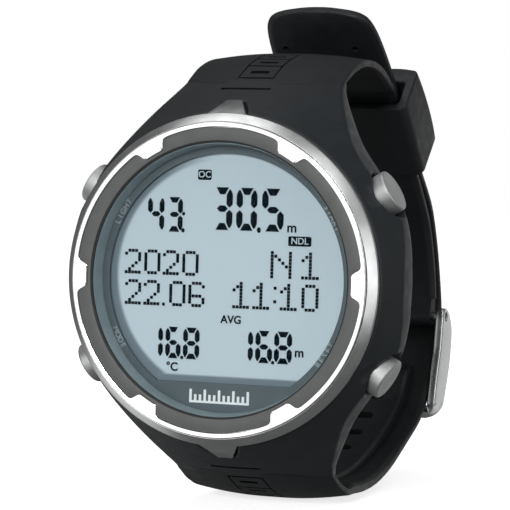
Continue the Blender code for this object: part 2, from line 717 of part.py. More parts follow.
def make_keeper():
    centre_t, centre_n = KEEPER_CENTRE
    centre = at(0.0, 0.0, 0.0) + KEEPER_AXIS * centre_t + KEEPER_OUT * centre_n
    rings = []
    for offset, crest in KEEPER_CREST:
        along = KEEPER_AXIS * offset
        half, low, high = KEEPER_HALF_WIDTH, KEEPER_INNER_FACE - centre_n, crest - centre_n
        corners = (
            (-half + 1.0, low), (half - 1.0, low), (half, low + 1.0), (half, high - 1.4),
            (half - 0.5, high - 0.5), (half - 3.0, high), (-half + 3.0, high), (-half + 0.5, high - 0.5),
            (-half, high - 1.4), (-half, low + 1.0),
        )
        rings.append([centre + along + Vector((x, 0, 0)) + KEEPER_OUT * n for x, n in corners])
    half, low, high = KEEPER_HOLE
    corners = ((-half, low), (half, low), (half, high), (-half, high))
    hole = []
    for offset in (-KEEPER_LENGTH, KEEPER_LENGTH):
        middle = centre + KEEPER_AXIS * offset - KEEPER_OUT * centre_n
        hole.append([middle + Vector((x, 0, 0)) + KEEPER_OUT * n for x, n in corners])
    add("keeper", combine(skin(rings), [skin(hole)]), "strap_rubber", centre)


def make_buckle():
    pivot = at(0.0, *BUCKLE_PIN)
    rail = [buckle_point(u, v) for u, v in RAIL_OUTLINE]
    bar = [buckle_point(u, v) for u, v in CROSSBAR_OUTLINE]
    joined = [across(bar, -RAIL_OUTER + 0.4, RAIL_OUTER - 0.4), across(rail, -RAIL_OUTER, -RAIL_INNER)]
    frame = combine(across(rail, RAIL_INNER, RAIL_OUTER), joined, "UNION")
    depth, z = BUCKLE_PIN
    hole = rod(at(-15.0, depth, z), at(15.0, depth, z), BUCKLE_PIN_RADIUS + 0.1, 16)
    add("buckle_frame", combine(frame, [hole]), "satin_steel", pivot)
    reach = BUCKLE_PIN_REACH
    pin = rod(at(-reach, depth, z), at(reach, depth, z), BUCKLE_PIN_RADIUS, 16)
    add("buckle_pin", pin, "satin_steel")
    loop = [(depth + a, z + b) for a, b in circle(1.55, 20)]
    half = TONGUE_HALF_WIDTH
    arm = across([buckle_point(u, v) for u, v in TONGUE_ARM], -half, half)
    tongue = combine(across(loop, -half, half), [arm], "UNION")
    bore = rod(at(-15.0, depth, z), at(15.0, depth, z), BUCKLE_PIN_RADIUS + 0.1, 16)
    add("buckle_tongue", combine(tongue, [bore]), "satin_steel", pivot)


def make_lug_pins():
    depth, z = LUG_PIN
    for name, sign in (("strap_pin_upper", 1), ("strap_pin_lower", -1)):
        ends = [at(x, depth, sign * z) for x in (-LUG_PIN_REACH, LUG_PIN_REACH)]
        add(name, rod(*ends, LUG_PIN_RADIUS, 16), "satin_steel")


def main():
    for old in list(bpy.data.objects):
        bpy.data.objects.remove(old)
    make_bezel()
    make_glass()
    make_display()
    make_electronics()
    make_case()
    make_case_back()
    make_back_screws()
    for number, angle in enumerate(BUTTON_ANGLES, 1):
        make_button(number, angle)
    make_upper_strap()
    make_lower_strap()
    make_keeper()
    make_buckle()
    make_lug_pins()


main()
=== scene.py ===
"""Looks of the wrist dive computer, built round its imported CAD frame.

Shapes are made in millimetres and turned into metres in piece(). +Z points to 12 o'clock, +X to
3 o'clock and -Y out of the display. A "depth" is a distance behind the front plane of the bezel.
"""

import json
from math import atan2, cos, hypot, pi, radians, sin

import bmesh
import bpy
from mathutils import Matrix, Vector
from mathutils.geometry import convex_hull_2d


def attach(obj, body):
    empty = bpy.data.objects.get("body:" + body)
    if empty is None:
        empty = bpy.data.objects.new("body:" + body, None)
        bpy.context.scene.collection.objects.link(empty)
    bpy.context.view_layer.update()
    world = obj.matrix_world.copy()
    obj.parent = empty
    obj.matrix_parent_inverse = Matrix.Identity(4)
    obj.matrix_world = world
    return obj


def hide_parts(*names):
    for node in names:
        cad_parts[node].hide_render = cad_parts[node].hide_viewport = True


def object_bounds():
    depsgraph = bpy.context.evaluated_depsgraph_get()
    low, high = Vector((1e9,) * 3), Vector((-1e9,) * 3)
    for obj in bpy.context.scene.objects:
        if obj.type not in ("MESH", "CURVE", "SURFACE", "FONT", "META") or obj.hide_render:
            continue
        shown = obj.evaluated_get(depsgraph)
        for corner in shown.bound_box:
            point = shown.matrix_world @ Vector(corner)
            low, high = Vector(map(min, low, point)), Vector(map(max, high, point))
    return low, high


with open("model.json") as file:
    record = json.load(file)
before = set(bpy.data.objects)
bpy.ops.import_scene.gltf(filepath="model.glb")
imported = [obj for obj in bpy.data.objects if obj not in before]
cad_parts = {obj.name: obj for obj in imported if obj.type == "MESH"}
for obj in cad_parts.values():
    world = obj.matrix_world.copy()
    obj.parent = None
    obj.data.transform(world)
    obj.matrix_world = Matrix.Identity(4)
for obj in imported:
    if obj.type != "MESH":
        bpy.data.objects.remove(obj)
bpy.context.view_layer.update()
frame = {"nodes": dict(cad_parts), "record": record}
MM = 0.001
THICKNESS = 17.0  # front plane of the bezel to the wrist face
FACE_CENTRE = Vector((0.0, -THICKNESS * MM, 0.0))
ROUND_STEPS = 160  # points on a large circle
BOTH_ENDS = (1, -1)  # the sign of z at 12 o'clock and at 6 o'clock


def direction(azimuth, elevation):
    """The way out from the object: azimuth 0 is straight in front, and 90 degrees at 3 o'clock."""
    return Vector((sin(azimuth) * cos(elevation), -cos(azimuth) * cos(elevation), sin(elevation)))


def in_scene(name, data):
    made = bpy.data.objects.new(name, data)
    bpy.context.scene.collection.objects.link(made)
    return made


# ---- camera

AZIMUTH, ELEVATION, ROLL = radians(22.235), radians(2.175), radians(1.53)
DISTANCE = 0.40816
LENS, SENSOR = 187.06, 36.0
AIM_RIGHT, AIM_UP = radians(0.844), radians(0.545)  # the display is left of and below the picture's middle


def make_camera():
    back = direction(AZIMUTH, ELEVATION)
    level = Vector((cos(AZIMUTH), sin(AZIMUTH), 0.0))
    high = back.cross(level)
    right = level * cos(ROLL) + high * sin(ROLL)
    up = high * cos(ROLL) - level * sin(ROLL)
    turn = Matrix((right, up, back)).transposed()
    turn = turn @ Matrix.Rotation(-AIM_RIGHT, 3, "Y") @ Matrix.Rotation(AIM_UP, 3, "X")
    data = bpy.data.cameras.new("camera")
    data.lens = LENS
    data.sensor_width = SENSOR
    data.clip_start = 0.01
    camera = in_scene("camera", data)
    camera.matrix_world = Matrix.Translation(FACE_CENTRE + back * DISTANCE) @ turn.to_4x4()
    bpy.context.scene.camera = camera


# ---- material nodes


class Shader:
    """A Principled material being wired up. Vectors are in millimetres on the object."""

    def __init__(self, name, colour, roughness, metallic=0.0):
        self.material = bpy.data.materials.new(name)
        self.material.use_nodes = True
        self.nodes = self.material.node_tree.nodes
        self.links = self.material.node_tree.links
        self.principled = self.nodes["Principled BSDF"]
        self.set("Base Color", (*colour, 1.0))
        self.set("Roughness", roughness)
        self.set("Metallic", metallic)

    def set(self, socket, value):
        if isinstance(value, bpy.types.NodeSocket):
            self.links.new(value, self.principled.inputs[socket])
        else:
            self.principled.inputs[socket].default_value = value

    def add(self, kind, inputs=(), output=0, **settings):
        node = self.nodes.new(kind)
        for key, value in settings.items():
            setattr(node, key, value)
        for key, value in dict(inputs).items():
            if isinstance(value, bpy.types.NodeSocket):
                self.links.new(value, node.inputs[key])
            else:
                node.inputs[key].default_value = value
        return node.outputs[output]

    def place(self, stretch=(1.0, 1.0, 1.0)):
        """Position on the object in millimetres, stretched per axis."""
        at_object = self.add("ShaderNodeTexCoord", output="Object")
        return self.add("ShaderNodeMapping", {"Vector": at_object, "Scale": [s / MM for s in stretch]})

    def math(self, operation, a, b=0.0):
        return self.add("ShaderNodeMath", {0: a, 1: b}, operation=operation)

    def polar(self, radial, angular):
        """Coordinates about the display's axis: radius and depth times radial, and angle times angular."""
        split = self.nodes.new("ShaderNodeSeparateXYZ")
        self.links.new(self.place(), split.inputs[0])
        x, y, z = split.outputs
        squares = self.math("ADD", self.math("MULTIPLY", x, x), self.math("MULTIPLY", z, z))
        radius = self.math("MULTIPLY", self.math("SQRT", squares), radial)
        angle = self.math("MULTIPLY", self.math("ARCTAN2", z, x), angular)
        return self.add("ShaderNodeCombineXYZ", {0: radius, 1: self.math("MULTIPLY", y, radial), 2: angle})

    def noise(self, vector, scale, detail=4.0, roughness=0.55):
        values = {"Vector": vector, "Scale": scale, "Detail": detail, "Roughness": roughness}
        return self.add("ShaderNodeTexNoise", values)

    def span(self, value, low, high, to_low, to_high, smooth=False):
        values = {"Value": value, 1: low, 2: high, 3: to_low, 4: to_high}
        kind = "SMOOTHSTEP" if smooth else "LINEAR"
        return self.add("ShaderNodeMapRange", values, interpolation_type=kind)

    def spread(self, noise, low, high):
        """Noise, which stays between about 0.3 and 0.7, stretched from low to high."""
        return self.span(noise, 0.3, 0.7, low, high)

    def mix(self, factor, first, second):
        node = self.nodes.new("ShaderNodeMix")
        node.data_type = "RGBA"
        self.links.new(factor, node.inputs[0])
        for index, value in ((6, first), (7, second)):
            if isinstance(value, bpy.types.NodeSocket):
                self.links.new(value, node.inputs[index])
            else:
                node.inputs[index].default_value = (*value, 1.0)
        return node.outputs[2]

    def bump(self, height, depth, strength=1.0):
        """depth is in millimetres."""
        values = {"Height": height, "Distance": depth * MM, "Strength": strength}
        previous = self.principled.inputs["Normal"].links
        if previous:
            values["Normal"] = previous[0].from_socket
        self.set("Normal", self.add("ShaderNodeBump", values))


def shade(colour, factor):
    return tuple(c * factor for c in colour)


RUBBED_EDGE = 2.4  # how much paler the rubber is on a rubbed edge
ROUND_BRUSHING = (9.0, 1.4)  # brush marks per millimetre of radius and per radian


def rubber(name, colour, roughness, grain=0.012):
    """Moulded elastomer: cloudy tone, satin patches, a fine grain and slightly rubbed edges."""
    made = Shader(name, colour, roughness)
    place = made.place()
    clouds = made.spread(made.noise(place, 0.16, 5.0), 0.0, 1.0)
    base = made.mix(clouds, shade(colour, 0.82), shade(colour, 1.2))
    pointiness = made.add("ShaderNodeNewGeometry", output="Pointiness")
    rubbed = made.span(pointiness, 0.52, 0.62, 0.0, 0.55, smooth=True)
    rubbed = made.math("MULTIPLY", rubbed, made.span(made.noise(place, 0.9, 3.0), 0.35, 0.65, 0.3, 1.0))
    made.set("Base Color", made.mix(rubbed, base, shade(colour, RUBBED_EDGE)))
    smears = made.noise(place, 0.45, 6.0, 0.62)
    made.set("Roughness", made.spread(smears, roughness - 0.07, roughness + 0.09))
    made.set("Specular IOR Level", 0.42)
    made.bump(made.noise(place, 7.5, 3.0, 0.6), grain)
    pits = made.add("ShaderNodeTexVoronoi", {"Vector": place, "Scale": 5.5}, feature="SMOOTH_F1")
    made.bump(pits, grain * 0.8, 0.7)
    return made.material


def steel(name, colour, roughness, stretch=None, grain=0.004):
    """Stainless steel, brushed along the least stretched axis or round the display."""
    made = Shader(name, colour, roughness, 1.0)
    lines = made.place(stretch) if stretch else made.polar(*ROUND_BRUSHING)
    brushed = made.noise(lines, 1.0, 5.0, 0.7)
    place = made.place()
    patches = made.noise(place, 0.35, 4.0)
    tone = made.spread(brushed, 0.0, 1.0)
    made.set("Base Color", made.mix(tone, shade(colour, 0.9), shade(colour, 1.07)))
    worn = made.math("MULTIPLY", made.spread(patches, 0.85, 1.2), roughness)
    made.set("Roughness", made.math("ADD", worn, made.spread(brushed, -0.03, 0.03)))
    made.bump(brushed, grain)
    return made.material


def plastic(name, colour, roughness, grain=0.01, gloss=0.5):
    """Moulded or printed plastic with a fine stipple."""
    made = Shader(name, colour, roughness)
    made.set("Specular IOR Level", gloss)
    place = made.place()
    clouds = made.spread(made.noise(place, 0.3, 4.0), 0.0, 1.0)
    made.set("Base Color", made.mix(clouds, shade(colour, 0.93), shade(colour, 1.07)))
    smears = made.noise(place, 0.8, 5.0)
    made.set("Roughness", made.spread(smears, roughness - 0.06, roughness + 0.06))
    made.bump(made.noise(place, 9.0, 2.0), grain)
    return made.material


def lcd_film(name):
    """Reflective liquid crystal: a faint vertical drift, a fine grain and a painted shadow at its rim,
    where the mask's edge shades the film.
    """
    # shadow is the colour of the painted shadow that the mask's edge casts on the film
    bright, shadow = (0.557, 0.652, 0.718), (0.160, 0.207, 0.245)
    made = Shader(name, bright, 0.42)
    made.set("Specular IOR Level", 0.25)
    place = made.place()
    split = made.nodes.new("ShaderNodeSeparateXYZ")
    made.links.new(place, split.inputs[0])
    x, _, z = split.outputs
    drift = made.span(z, -18.0, 18.0, 0.0, 1.0)
    base = made.mix(drift, shade(bright, 1.02), shade(bright, 0.99))
    # painted shadow: a soft crescent inside the rim, strongest on the left, and a band along the flat foot
    dx, dz = made.math("ADD", x, 0.18), made.math("SUBTRACT", z, 0.43)
    squares = made.math("ADD", made.math("MULTIPLY", dx, dx), made.math("MULTIPLY", dz, dz))
    side = made.span(made.math("SQRT", squares), 17.85, 18.65, 0.0, 1.0, smooth=True)
    side = made.math("MULTIPLY", side, made.span(x, -0.5, -12.0, 0.0, 1.0, smooth=True))
    foot = made.span(z, -14.9, -15.4, 0.0, 1.0, smooth=True)
    both = made.math("MAXIMUM", side, foot)
    grain = made.spread(made.noise(place, 14.0, 2.0), 0.975, 1.02)
    shaded = made.mix(both, base, shadow)
    tone = made.add("ShaderNodeVectorMath", {0: shaded}, operation="SCALE")
    made.links.new(grain, tone.node.inputs["Scale"])
    made.set("Base Color", tone)
    made.set("Roughness", made.spread(made.noise(place, 1.2, 4.0), 0.36, 0.48))
    return made.material


GLASS_INDEX = 1.13


def clear_glass(name):
    """Clear glass that lets lamps through: transparent, with a Fresnel reflection.

    The index is turned round on the inner faces, so that they don't turn into mirrors at a slant.
    """
    made = Shader(name, (0.95, 0.97, 0.97), 0.02)
    place = made.place()
    clear = made.add("ShaderNodeBsdfTransparent", {"Color": (0.97, 0.985, 0.985, 1.0)})
    smudge = made.span(made.noise(place, 0.25, 5.0, 0.6), 0.35, 0.75, 0.015, 0.05)
    gloss = made.add("ShaderNodeBsdfGlossy", {"Roughness": smudge})
    seen_inside = made.nodes.new("ShaderNodeNewGeometry").outputs["Backfacing"]
    index = made.span(seen_inside, 0.0, 1.0, GLASS_INDEX, 1.0 / GLASS_INDEX)
    fresnel = made.add("ShaderNodeFresnel", {"IOR": index})
    both = made.add("ShaderNodeMixShader", {0: fresnel, 1: clear, 2: gloss})
    made.links.new(both, made.nodes["Material Output"].inputs["Surface"])
    made.nodes.remove(made.principled)
    return made.material


def laminate(name):
    """Solder-masked circuit board with copper tracks."""
    made = Shader(name, (0.01, 0.09, 0.04), 0.35)
    place = made.place()
    tracks = made.add("ShaderNodeTexBrick", {"Vector": made.place((0.9, 0.9, 1.3)), "Scale": 1.0})
    pads = made.span(made.noise(place, 1.4, 2.0), 0.56, 0.6, 0.0, 1.0)
    made.set("Base Color", made.mix(pads, (0.008, 0.075, 0.032), (0.02, 0.16, 0.07)))
    made.bump(tracks, 0.05)
    return made.material


RECIPES = {
    "case_rubber": (rubber, (0.0115, 0.0150, 0.0178), 0.5),
    # strap_rubber is darker than case_rubber as painted shade: the straps and keeper lie behind the case,
    # out of the key light
    "strap_rubber": (rubber, (0.0078, 0.0095, 0.0115), 0.54),
    "satin_steel": (steel, (0.62, 0.63, 0.63), 0.33, None, 0.0022),
    "button_steel": (steel, (0.52, 0.53, 0.53), 0.56, (7.0, 7.0, 1.2), 0.002),
    "buckle_steel": (steel, (0.66, 0.67, 0.67), 0.27, (5.0, 2.0, 0.25), 0.0008),
    "polished_steel": (steel, (0.95, 0.95, 0.95), 0.07, None, 0.0012),
    "insert_grey": (plastic, (0.092, 0.096, 0.096), 0.5, 0.014),
    "glass": (clear_glass,),
    "seal_rubber": (rubber, (0.006, 0.0065, 0.007), 0.55, 0.008),
    "mask_print": (plastic, (0.085, 0.112, 0.126), 0.42, 0.004, 0.25),
    # mask_wall is paler than mask_print as painted light: the window's inner wall lies in shade and is
    # brightened to read as the mask
    "mask_wall": (plastic, (0.235, 0.295, 0.320), 0.5, 0.004, 0.2),
    "lcd_film": (lcd_film,),
    "backlight": (plastic, (0.8, 0.82, 0.78), 0.5),
    "module_plastic": (plastic, (0.03, 0.03, 0.03), 0.5),
    "board_laminate": (laminate,),
    "chip_resin": (plastic, (0.012, 0.012, 0.012), 0.42),
    "spring_steel": (steel, (0.6, 0.6, 0.6), 0.25, (5.0, 5.0, 5.0)),
    "battery_can": (steel, (0.7, 0.7, 0.7), 0.22, (5.0, 5.0, 0.6)),
    "brass": (steel, (0.62, 0.44, 0.18), 0.3, (5.0, 5.0, 5.0)),
    "figure_ink": (plastic, (0.0012, 0.0060, 0.0105), 0.6, 0.003, 0.0),
    "label_ink": (plastic, (0.33, 0.38, 0.40), 0.5, 0.003, 0.2),
    "white_ink": (plastic, (0.86, 0.88, 0.90), 0.45, 0.003),
    "box_ink": (plastic, (0.557, 0.652, 0.718), 0.45, 0.003, 0.2),
}
MATERIALS = {name: make(name, *values) for name, (make, *values) in RECIPES.items()}


# ---- mesh tools


def at(x, depth, z):
    """A point in millimetres in the frame's axes."""
    return Vector((x, depth - THICKNESS, z))


def temporary(body):
    bmesh.ops.recalc_face_normals(body, faces=body.faces)
    mesh = bpy.data.meshes.new("temporary")
    body.to_mesh(mesh)
    body.free()
    return in_scene("temporary", mesh)


def settled(target, used=()):
    """The mesh of an object after its modifiers, with the helper objects removed."""
    bpy.context.view_layer.update()
    result = bmesh.new()
    result.from_object(target, bpy.context.evaluated_depsgraph_get())
    for helper in [target, *used]:
        bpy.data.objects.remove(helper)
    return result


def combine(body, tools, operation="DIFFERENCE"):
    """The body after one Boolean with each tool."""
    target = temporary(body)
    cutters = [temporary(tool) for tool in tools]
    for cutter in cutters:
        modifier = target.modifiers.new("combine", "BOOLEAN")
        modifier.operation = operation
        modifier.solver = "EXACT"
        modifier.object = cutter
    return settled(target, cutters)


def bevelled(body, width, segments=3, angle=30.0):
    """Rounds every edge sharper than the angle."""
    bmesh.ops.dissolve_limit(body, angle_limit=radians(0.4), verts=body.verts, edges=body.edges)
    target = temporary(body)
    modifier = target.modifiers.new("bevel", "BEVEL")
    modifier.width = width
    modifier.segments = segments
    modifier.limit_method = "ANGLE"
    modifier.angle_limit = radians(angle)
    modifier.use_clamp_overlap = True
    return settled(target)


def remeshed(body, voxel, smoothing):
    """One even skin over the body, with its creases softened."""
    target = temporary(body)
    modifier = target.modifiers.new("remesh", "REMESH")
    modifier.mode = "VOXEL"
    modifier.voxel_size = voxel
    soften = target.modifiers.new("smooth", "SMOOTH")
    soften.factor = 0.5
    soften.iterations = smoothing
    return settled(target)


def piece(name, body, material, replaces=(), ride="computer", sharp=32.0):
    """A finished piece in metres that rides on a CAD body."""
    bmesh.ops.recalc_face_normals(body, faces=body.faces)
    bmesh.ops.transform(body, matrix=Matrix.Scale(MM, 4), verts=body.verts)
    mesh = bpy.data.meshes.new(name)
    body.to_mesh(mesh)
    body.free()
    mesh.materials.append(MATERIALS[material])
    mesh.shade_smooth()
    mesh.set_sharp_from_angle(angle=radians(sharp))
    made = in_scene(name, mesh)
    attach(made, ride)
    if replaces:
        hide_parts(*replaces)
    return made


def skin(rings, closed=False):
    """A mesh through rings of equal point counts, capped at both ends or closed into a loop."""
    body = bmesh.new()
    rows = [[body.verts.new(point) for point in ring] for ring in rings]
    pairs = list(zip(rows, rows[1:]))
    if closed:
        pairs.append((rows[-1], rows[0]))
    for first, second in pairs:
        for i in range(len(first)):
            j = (i + 1) % len(first)
            body.faces.new((first[i], first[j], second[j], second[i]))
    if not closed:
        body.faces.new(rows[0])
        body.faces.new(rows[-1])
    return body


def circle(radius, count, centre=(0.0, 0.0), phase=0.0):
    turns = [2.0 * pi * (i + phase) / count for i in range(count)]
    return [(centre[0] + radius * cos(a), centre[1] + radius * sin(a)) for a in turns]


def rounded(outline, radius, steps=4):
    """A closed 2-D outline with its corners turned into short curves. radius can be one per corner."""
    found = []
    count = len(outline)
    radii = radius if isinstance(radius, (list, tuple)) else [radius] * count
    for i, size in enumerate(radii):
        before, here, after = (Vector(outline[(i + k) % count]) for k in (-1, 0, 1))
        start, end = before - here, after - here
        reach = min(size, 0.45 * start.length, 0.45 * end.length)
        first, last = here + start.normalized() * reach, here + end.normalized() * reach
        for step in range(steps + 1):
            t = step / steps
            found.append(tuple(first * (1 - t) ** 2 + here * 2 * t * (1 - t) + last * t * t))
    return found


def plate(outline, front, back):
    """An outline of (x, height) points, extruded from one depth to another."""
    return skin([[at(x, depth, z) for x, z in outline] for depth in (front, back)])


def slab(x, depth, z):
    """A box between the two values given on each axis."""
    return plate(((x[0], z[0]), (x[1], z[0]), (x[1], z[1]), (x[0], z[1])), *depth)


def swept(profile_at, angles):
    """A ring about the display's axis from the (radius, depth) profile of each angle."""
    rings = []
    for a in angles:
        rings.append([at(r * cos(a), depth, r * sin(a)) for r, depth in profile_at(a)])
    return skin(rings, closed=True)


def turned(profile):
    """A ring about the display's axis with one (radius, depth) profile."""
    return swept(lambda angle: profile, [2.0 * pi * i / ROUND_STEPS for i in range(ROUND_STEPS)])


def rod(start, end, radius):
    axis = (end - start).normalized()
    side = axis.orthogonal().normalized()
    other = axis.cross(side)
    return skin([[c + side * a + other * b for a, b in circle(radius, 24)] for c in (start, end)])


def across(outline, low, high):
    """An outline of (depth, height) points, extruded along X."""
    return skin([[at(x, depth, z) for depth, z in outline] for x in (low, high)])


def smooth_path(stations, steps):
    """Catmull-Rom points through stations of any length."""
    points = [Vector(s) for s in stations]
    points = [2 * points[0] - points[1]] + points + [2 * points[-1] - points[-2]]
    found = []
    for a, b, c, d in zip(points, points[1:], points[2:], points[3:]):
        for i in range(steps):
            t = i / steps
            square = (2 * a - 5 * b + 4 * c - d) * t * t
            cube = (3 * b - a - 3 * c + d) * t**3
            found.append(0.5 * (2 * b + (c - a) * t + square + cube))
    return found + [points[-2]]


# ---- bezel and glass

TOOTH_TIP_RADIUS = 22.0
TOOTH_SPACING = 60.0  # degrees between two teeth
TOOTH_PROFILE = (  # degrees from the middle of a tooth, rise above its tip
    (0.0, 0.0), (4.0, 0.0), (4.6, 0.22), (5.6, 1.3), (6.3, 1.56), (7.6, 1.66),
)
FINE_TURN = [2.0 * pi * i / 720 for i in range(720)]
FLANK_PROFILE = (
    (24.47, 0.42), (24.49, 0.33), (24.55, 0.32), (25.76, 1.52), (25.83, 1.63), (25.85, 1.76),
    (25.85, 2.1), (25.0, 2.1), (25.0, 5.2), (22.6, 5.2), (22.6, 3.7), (24.47, 3.7),
)
GASKET_PROFILE = (
    (21.22, 0.62), (21.25, 0.57), (21.3, 0.55), (21.46, 0.55), (21.46, 1.16), (22.3, 1.16), (22.3, 5.0),
    (21.9, 5.0), (21.9, 1.62), (21.22, 1.62),
)
GLASS_PROFILE = ((21.1, 0.8), (21.16, 0.86), (21.16, 1.6), (21.8, 1.62), (21.8, 3.2))


def ring_inner(angle):
    """Inner radius of the toothed ring, averaged over three near angles to soften the corners."""
    total = 0.0
    half = TOOTH_SPACING / 2.0
    shifts = (-0.45, 0.0, 0.45)
    for shift in shifts:
        off = abs((angle * 180.0 / pi + shift + half) % TOOTH_SPACING - half)
        rise = TOOTH_PROFILE[-1][1]
        for (low, low_rise), (high, high_rise) in zip(TOOTH_PROFILE, TOOTH_PROFILE[1:]):
            if off <= high:
                rise = low_rise + (off - low) / (high - low) * (high_rise - low_rise)
                break
        total += TOOTH_TIP_RADIUS + rise
    return total / len(shifts)


def bezel_profile(angle):
    inner = ring_inner(angle)
    return (
        (inner, 0.07), (inner + 0.02, 0.025), (inner + 0.07, 0.0), (24.3, 0.0), (24.36, 0.02),
        (24.39, 0.05), (24.4, 0.1), (24.4, 3.4), (22.6, 3.4), (22.6, 1.3), (inner, 1.3),
    )


def insert_profile(angle):
    outer = ring_inner(angle) - 0.06
    return (
        (21.5, 0.34), (21.56, 0.25), (21.66, 0.22), (outer - 0.08, 0.22), (outer - 0.02, 0.24),
        (outer, 0.3), (outer, 1.1), (21.5, 1.1),
    )


TAB_SIDE = ((1.5, 25.2), (5.85, 28.0), (6.5, 27.1), (2.9, 24.85))  # depth, height
TAB_HALF_WIDTHS = (3.75, 1.2, 1.2, 3.75)


def tab(sign, grow=0.0, lift=0.0):
    """The pointed tab at one end of the bezel, grown all round and lifted in front to cut its seat."""
    centre = sum((Vector(p) for p in TAB_SIDE), Vector((0.0, 0.0))) / 4.0
    sides = ([], [])
    for number, (point, half) in enumerate(zip(TAB_SIDE, TAB_HALF_WIDTHS)):
        corner = Vector(point)
        corner += (corner - centre).normalized() * grow
        for side, row in zip((-1, 1), sides):
            depth = corner.x - (lift if number < 2 else 0.0)
            row.append(at(side * (half + grow), depth, sign * corner.y))
    return skin(sides)


def make_bezel():
    body = swept(bezel_profile, FINE_TURN)
    ring = piece("toothed_ring", body, "polished_steel", ["bezel_ring"])
    body = swept(insert_profile, FINE_TURN)
    insert = piece("ring_insert", body, "insert_grey", ["bezel_insert"])
    tabs = [bevelled(tab(sign), 0.16, 2) for sign in BOTH_ENDS]
    carrier = combine(turned(FLANK_PROFILE), tabs, "UNION")
    piece("bezel_flank", carrier, "satin_steel", ["bezel_carrier"])
    seal = piece("window_gasket", turned(GASKET_PROFILE), "seal_rubber", ["lens_gasket"])
    for rim in (ring, insert, seal):
        rim.visible_shadow = False
    rings = [[at(x, depth, z) for x, z in circle(r, ROUND_STEPS)] for r, depth in GLASS_PROFILE]
    piece("window_glass", skin(rings), "glass", ["lens"])


# ---- display

LCD_FRONT = 4.2
FIGURE_FRONT, FIGURE_BACK = LCD_FRONT - 0.07, LCD_FRONT - 0.03
FIGURE_BOLD, BOX_BOLD, LABEL_BOLD = 0.045, 0.012, 0.01
DOT_SIZE = 0.48
MASK_FRONT = 3.5
WINDOW_RADIUS = 19.62
WINDOW_FLAT = -16.2
LABELS = (  # word, middle in degrees, tops outward
    ("LIGHT", 150.0, True), ("MODE", 209.0, False), ("START", 30.0, True), ("RESET", -33.0, False),
)
LABEL_RADIUS, LABEL_SIZE = 20.2, 1.25
SEGMENTS = {
    "0": "abcdef", "1": "ef", "3": "abcdg", "4": "bcfg", "5": "acdfg", "6": "acdefg", "8": "abcdefg",
}
GLYPHS = {
    "0": (".###.", "#...#", "#...#", "#...#", "#...#", "#...#", "#...#", ".###."),
    "1": ("..#..", ".##..", "#.#..", "..#..", "..#..", "..#..", "..#..", "#####"),
    "2": (".###.", "#...#", "....#", "....#", "...#.", "..#..", ".#...", "#####"),
    "6": (".###.", "#...#", "#....", "#....", "####.", "#...#", "#...#", ".###."),
    "N": ("#....#", "##...#", "#.#..#", "#..#.#", "#...##", "#....#", "#....#", "#....#"),
    ".": (".", ".", ".", ".", ".", ".", ".", "#"),
    ":": (".", "#", ".", ".", ".", "#", ".", "."),
}


def segment_outline(key, w, h, t):
    """One bar, t thick, of a seven-segment figure in a box w wide and h high, with pointed ends."""
    half, gap = h / 2.0, 0.07 * t / 0.7 + 0.05
    if key in "ad":
        near, far = (h, h - t) if key == "a" else (0.0, t)
        return [(t * 0.62, near), (w - t * 0.62, near), (w - t * 1.18, far), (t * 1.18, far)]
    if key == "g":
        return [
            (t * 0.72, half), (t * 1.2, half + t * 0.46), (w - t * 1.2, half + t * 0.46),
            (w - t * 0.72, half), (w - t * 1.2, half - t * 0.46), (t * 1.2, half - t * 0.46),
        ]
    upright = [
        (t * 0.5, half - gap), (t * 0.95, half - t * 0.62), (t * 0.95, t * 1.12), (t * 0.55, t * 0.32),
        (t * 0.3, t * 0.34), (0.0, t * 1.0), (0.0, half - t * 0.62),
    ]
    if key in "bf":
        upright = [(x, h - z) for x, z in upright]
    if key in "bc":
        upright = [(w - x, z) for x, z in upright]
    return upright


def figure(text, x, top, widths, height, thick, plates):
    """Seven-segment figures. widths gives (start, width) of each one."""
    for digit, (start, width) in zip(text, widths):
        for key in SEGMENTS[digit]:
            bar = segment_outline(key, width, height, thick)
            plates.append([(x + start + a, top - height + b) for a, b in bar])


def spot(x, z, width, height, plates):
    """A small round point."""
    plates.append([(x + width * a, z + height * b) for a, b in circle(0.5, 8)])


def dots(text, x, top, starts, pitch, drop, plates):
    """Dot-matrix figures. starts gives the left edge of each one."""
    for mark, start in zip(text, starts):
        for row, line in enumerate(GLYPHS[mark]):
            for column, cell in enumerate(line):
                if cell == "#":
                    left, high = x + start + column * pitch, top - row * drop
                    right, low = left + DOT_SIZE, high - DOT_SIZE
                    plates.append([(left, low), (right, low), (right, high), (left, high)])


def written(text, size, centre, depth, turn=0.0, bold=0.0):
    """A word as a thin raised mesh, in millimetres."""
    curve = bpy.data.curves.new("word", "FONT")
    curve.body = text
    curve.size = size
    curve.extrude = 0.015
    curve.offset = bold
    curve.resolution_u = 6
    curve.align_x = "CENTER"
    curve.align_y = "CENTER"
    holder = in_scene("word", curve)
    bpy.context.view_layer.update()
    mesh = bpy.data.meshes.new_from_object(holder.evaluated_get(bpy.context.evaluated_depsgraph_get()))
    facing = Matrix(((1, 0, 0, 0), (0, 0, -1, 0), (0, 1, 0, 0), (0, 0, 0, 1)))
    place = Matrix.Translation(at(centre[0], depth, centre[1]))
    mesh.transform(place @ facing @ Matrix.Rotation(turn, 4, "Z"))
    bpy.data.objects.remove(holder)
    return mesh


def joined(meshes, outlines=(), front=0.0, back=0.0):
    """Word meshes and flat plates in one body."""
    body = bmesh.new()
    for mesh in meshes:
        body.from_mesh(mesh)
    for outline in outlines:
        part = bpy.data.meshes.new("plate")
        solid = plate(outline, front, back)
        bmesh.ops.recalc_face_normals(solid, faces=solid.faces)
        solid.to_mesh(part)
        solid.free()
        body.from_mesh(part)
    return body


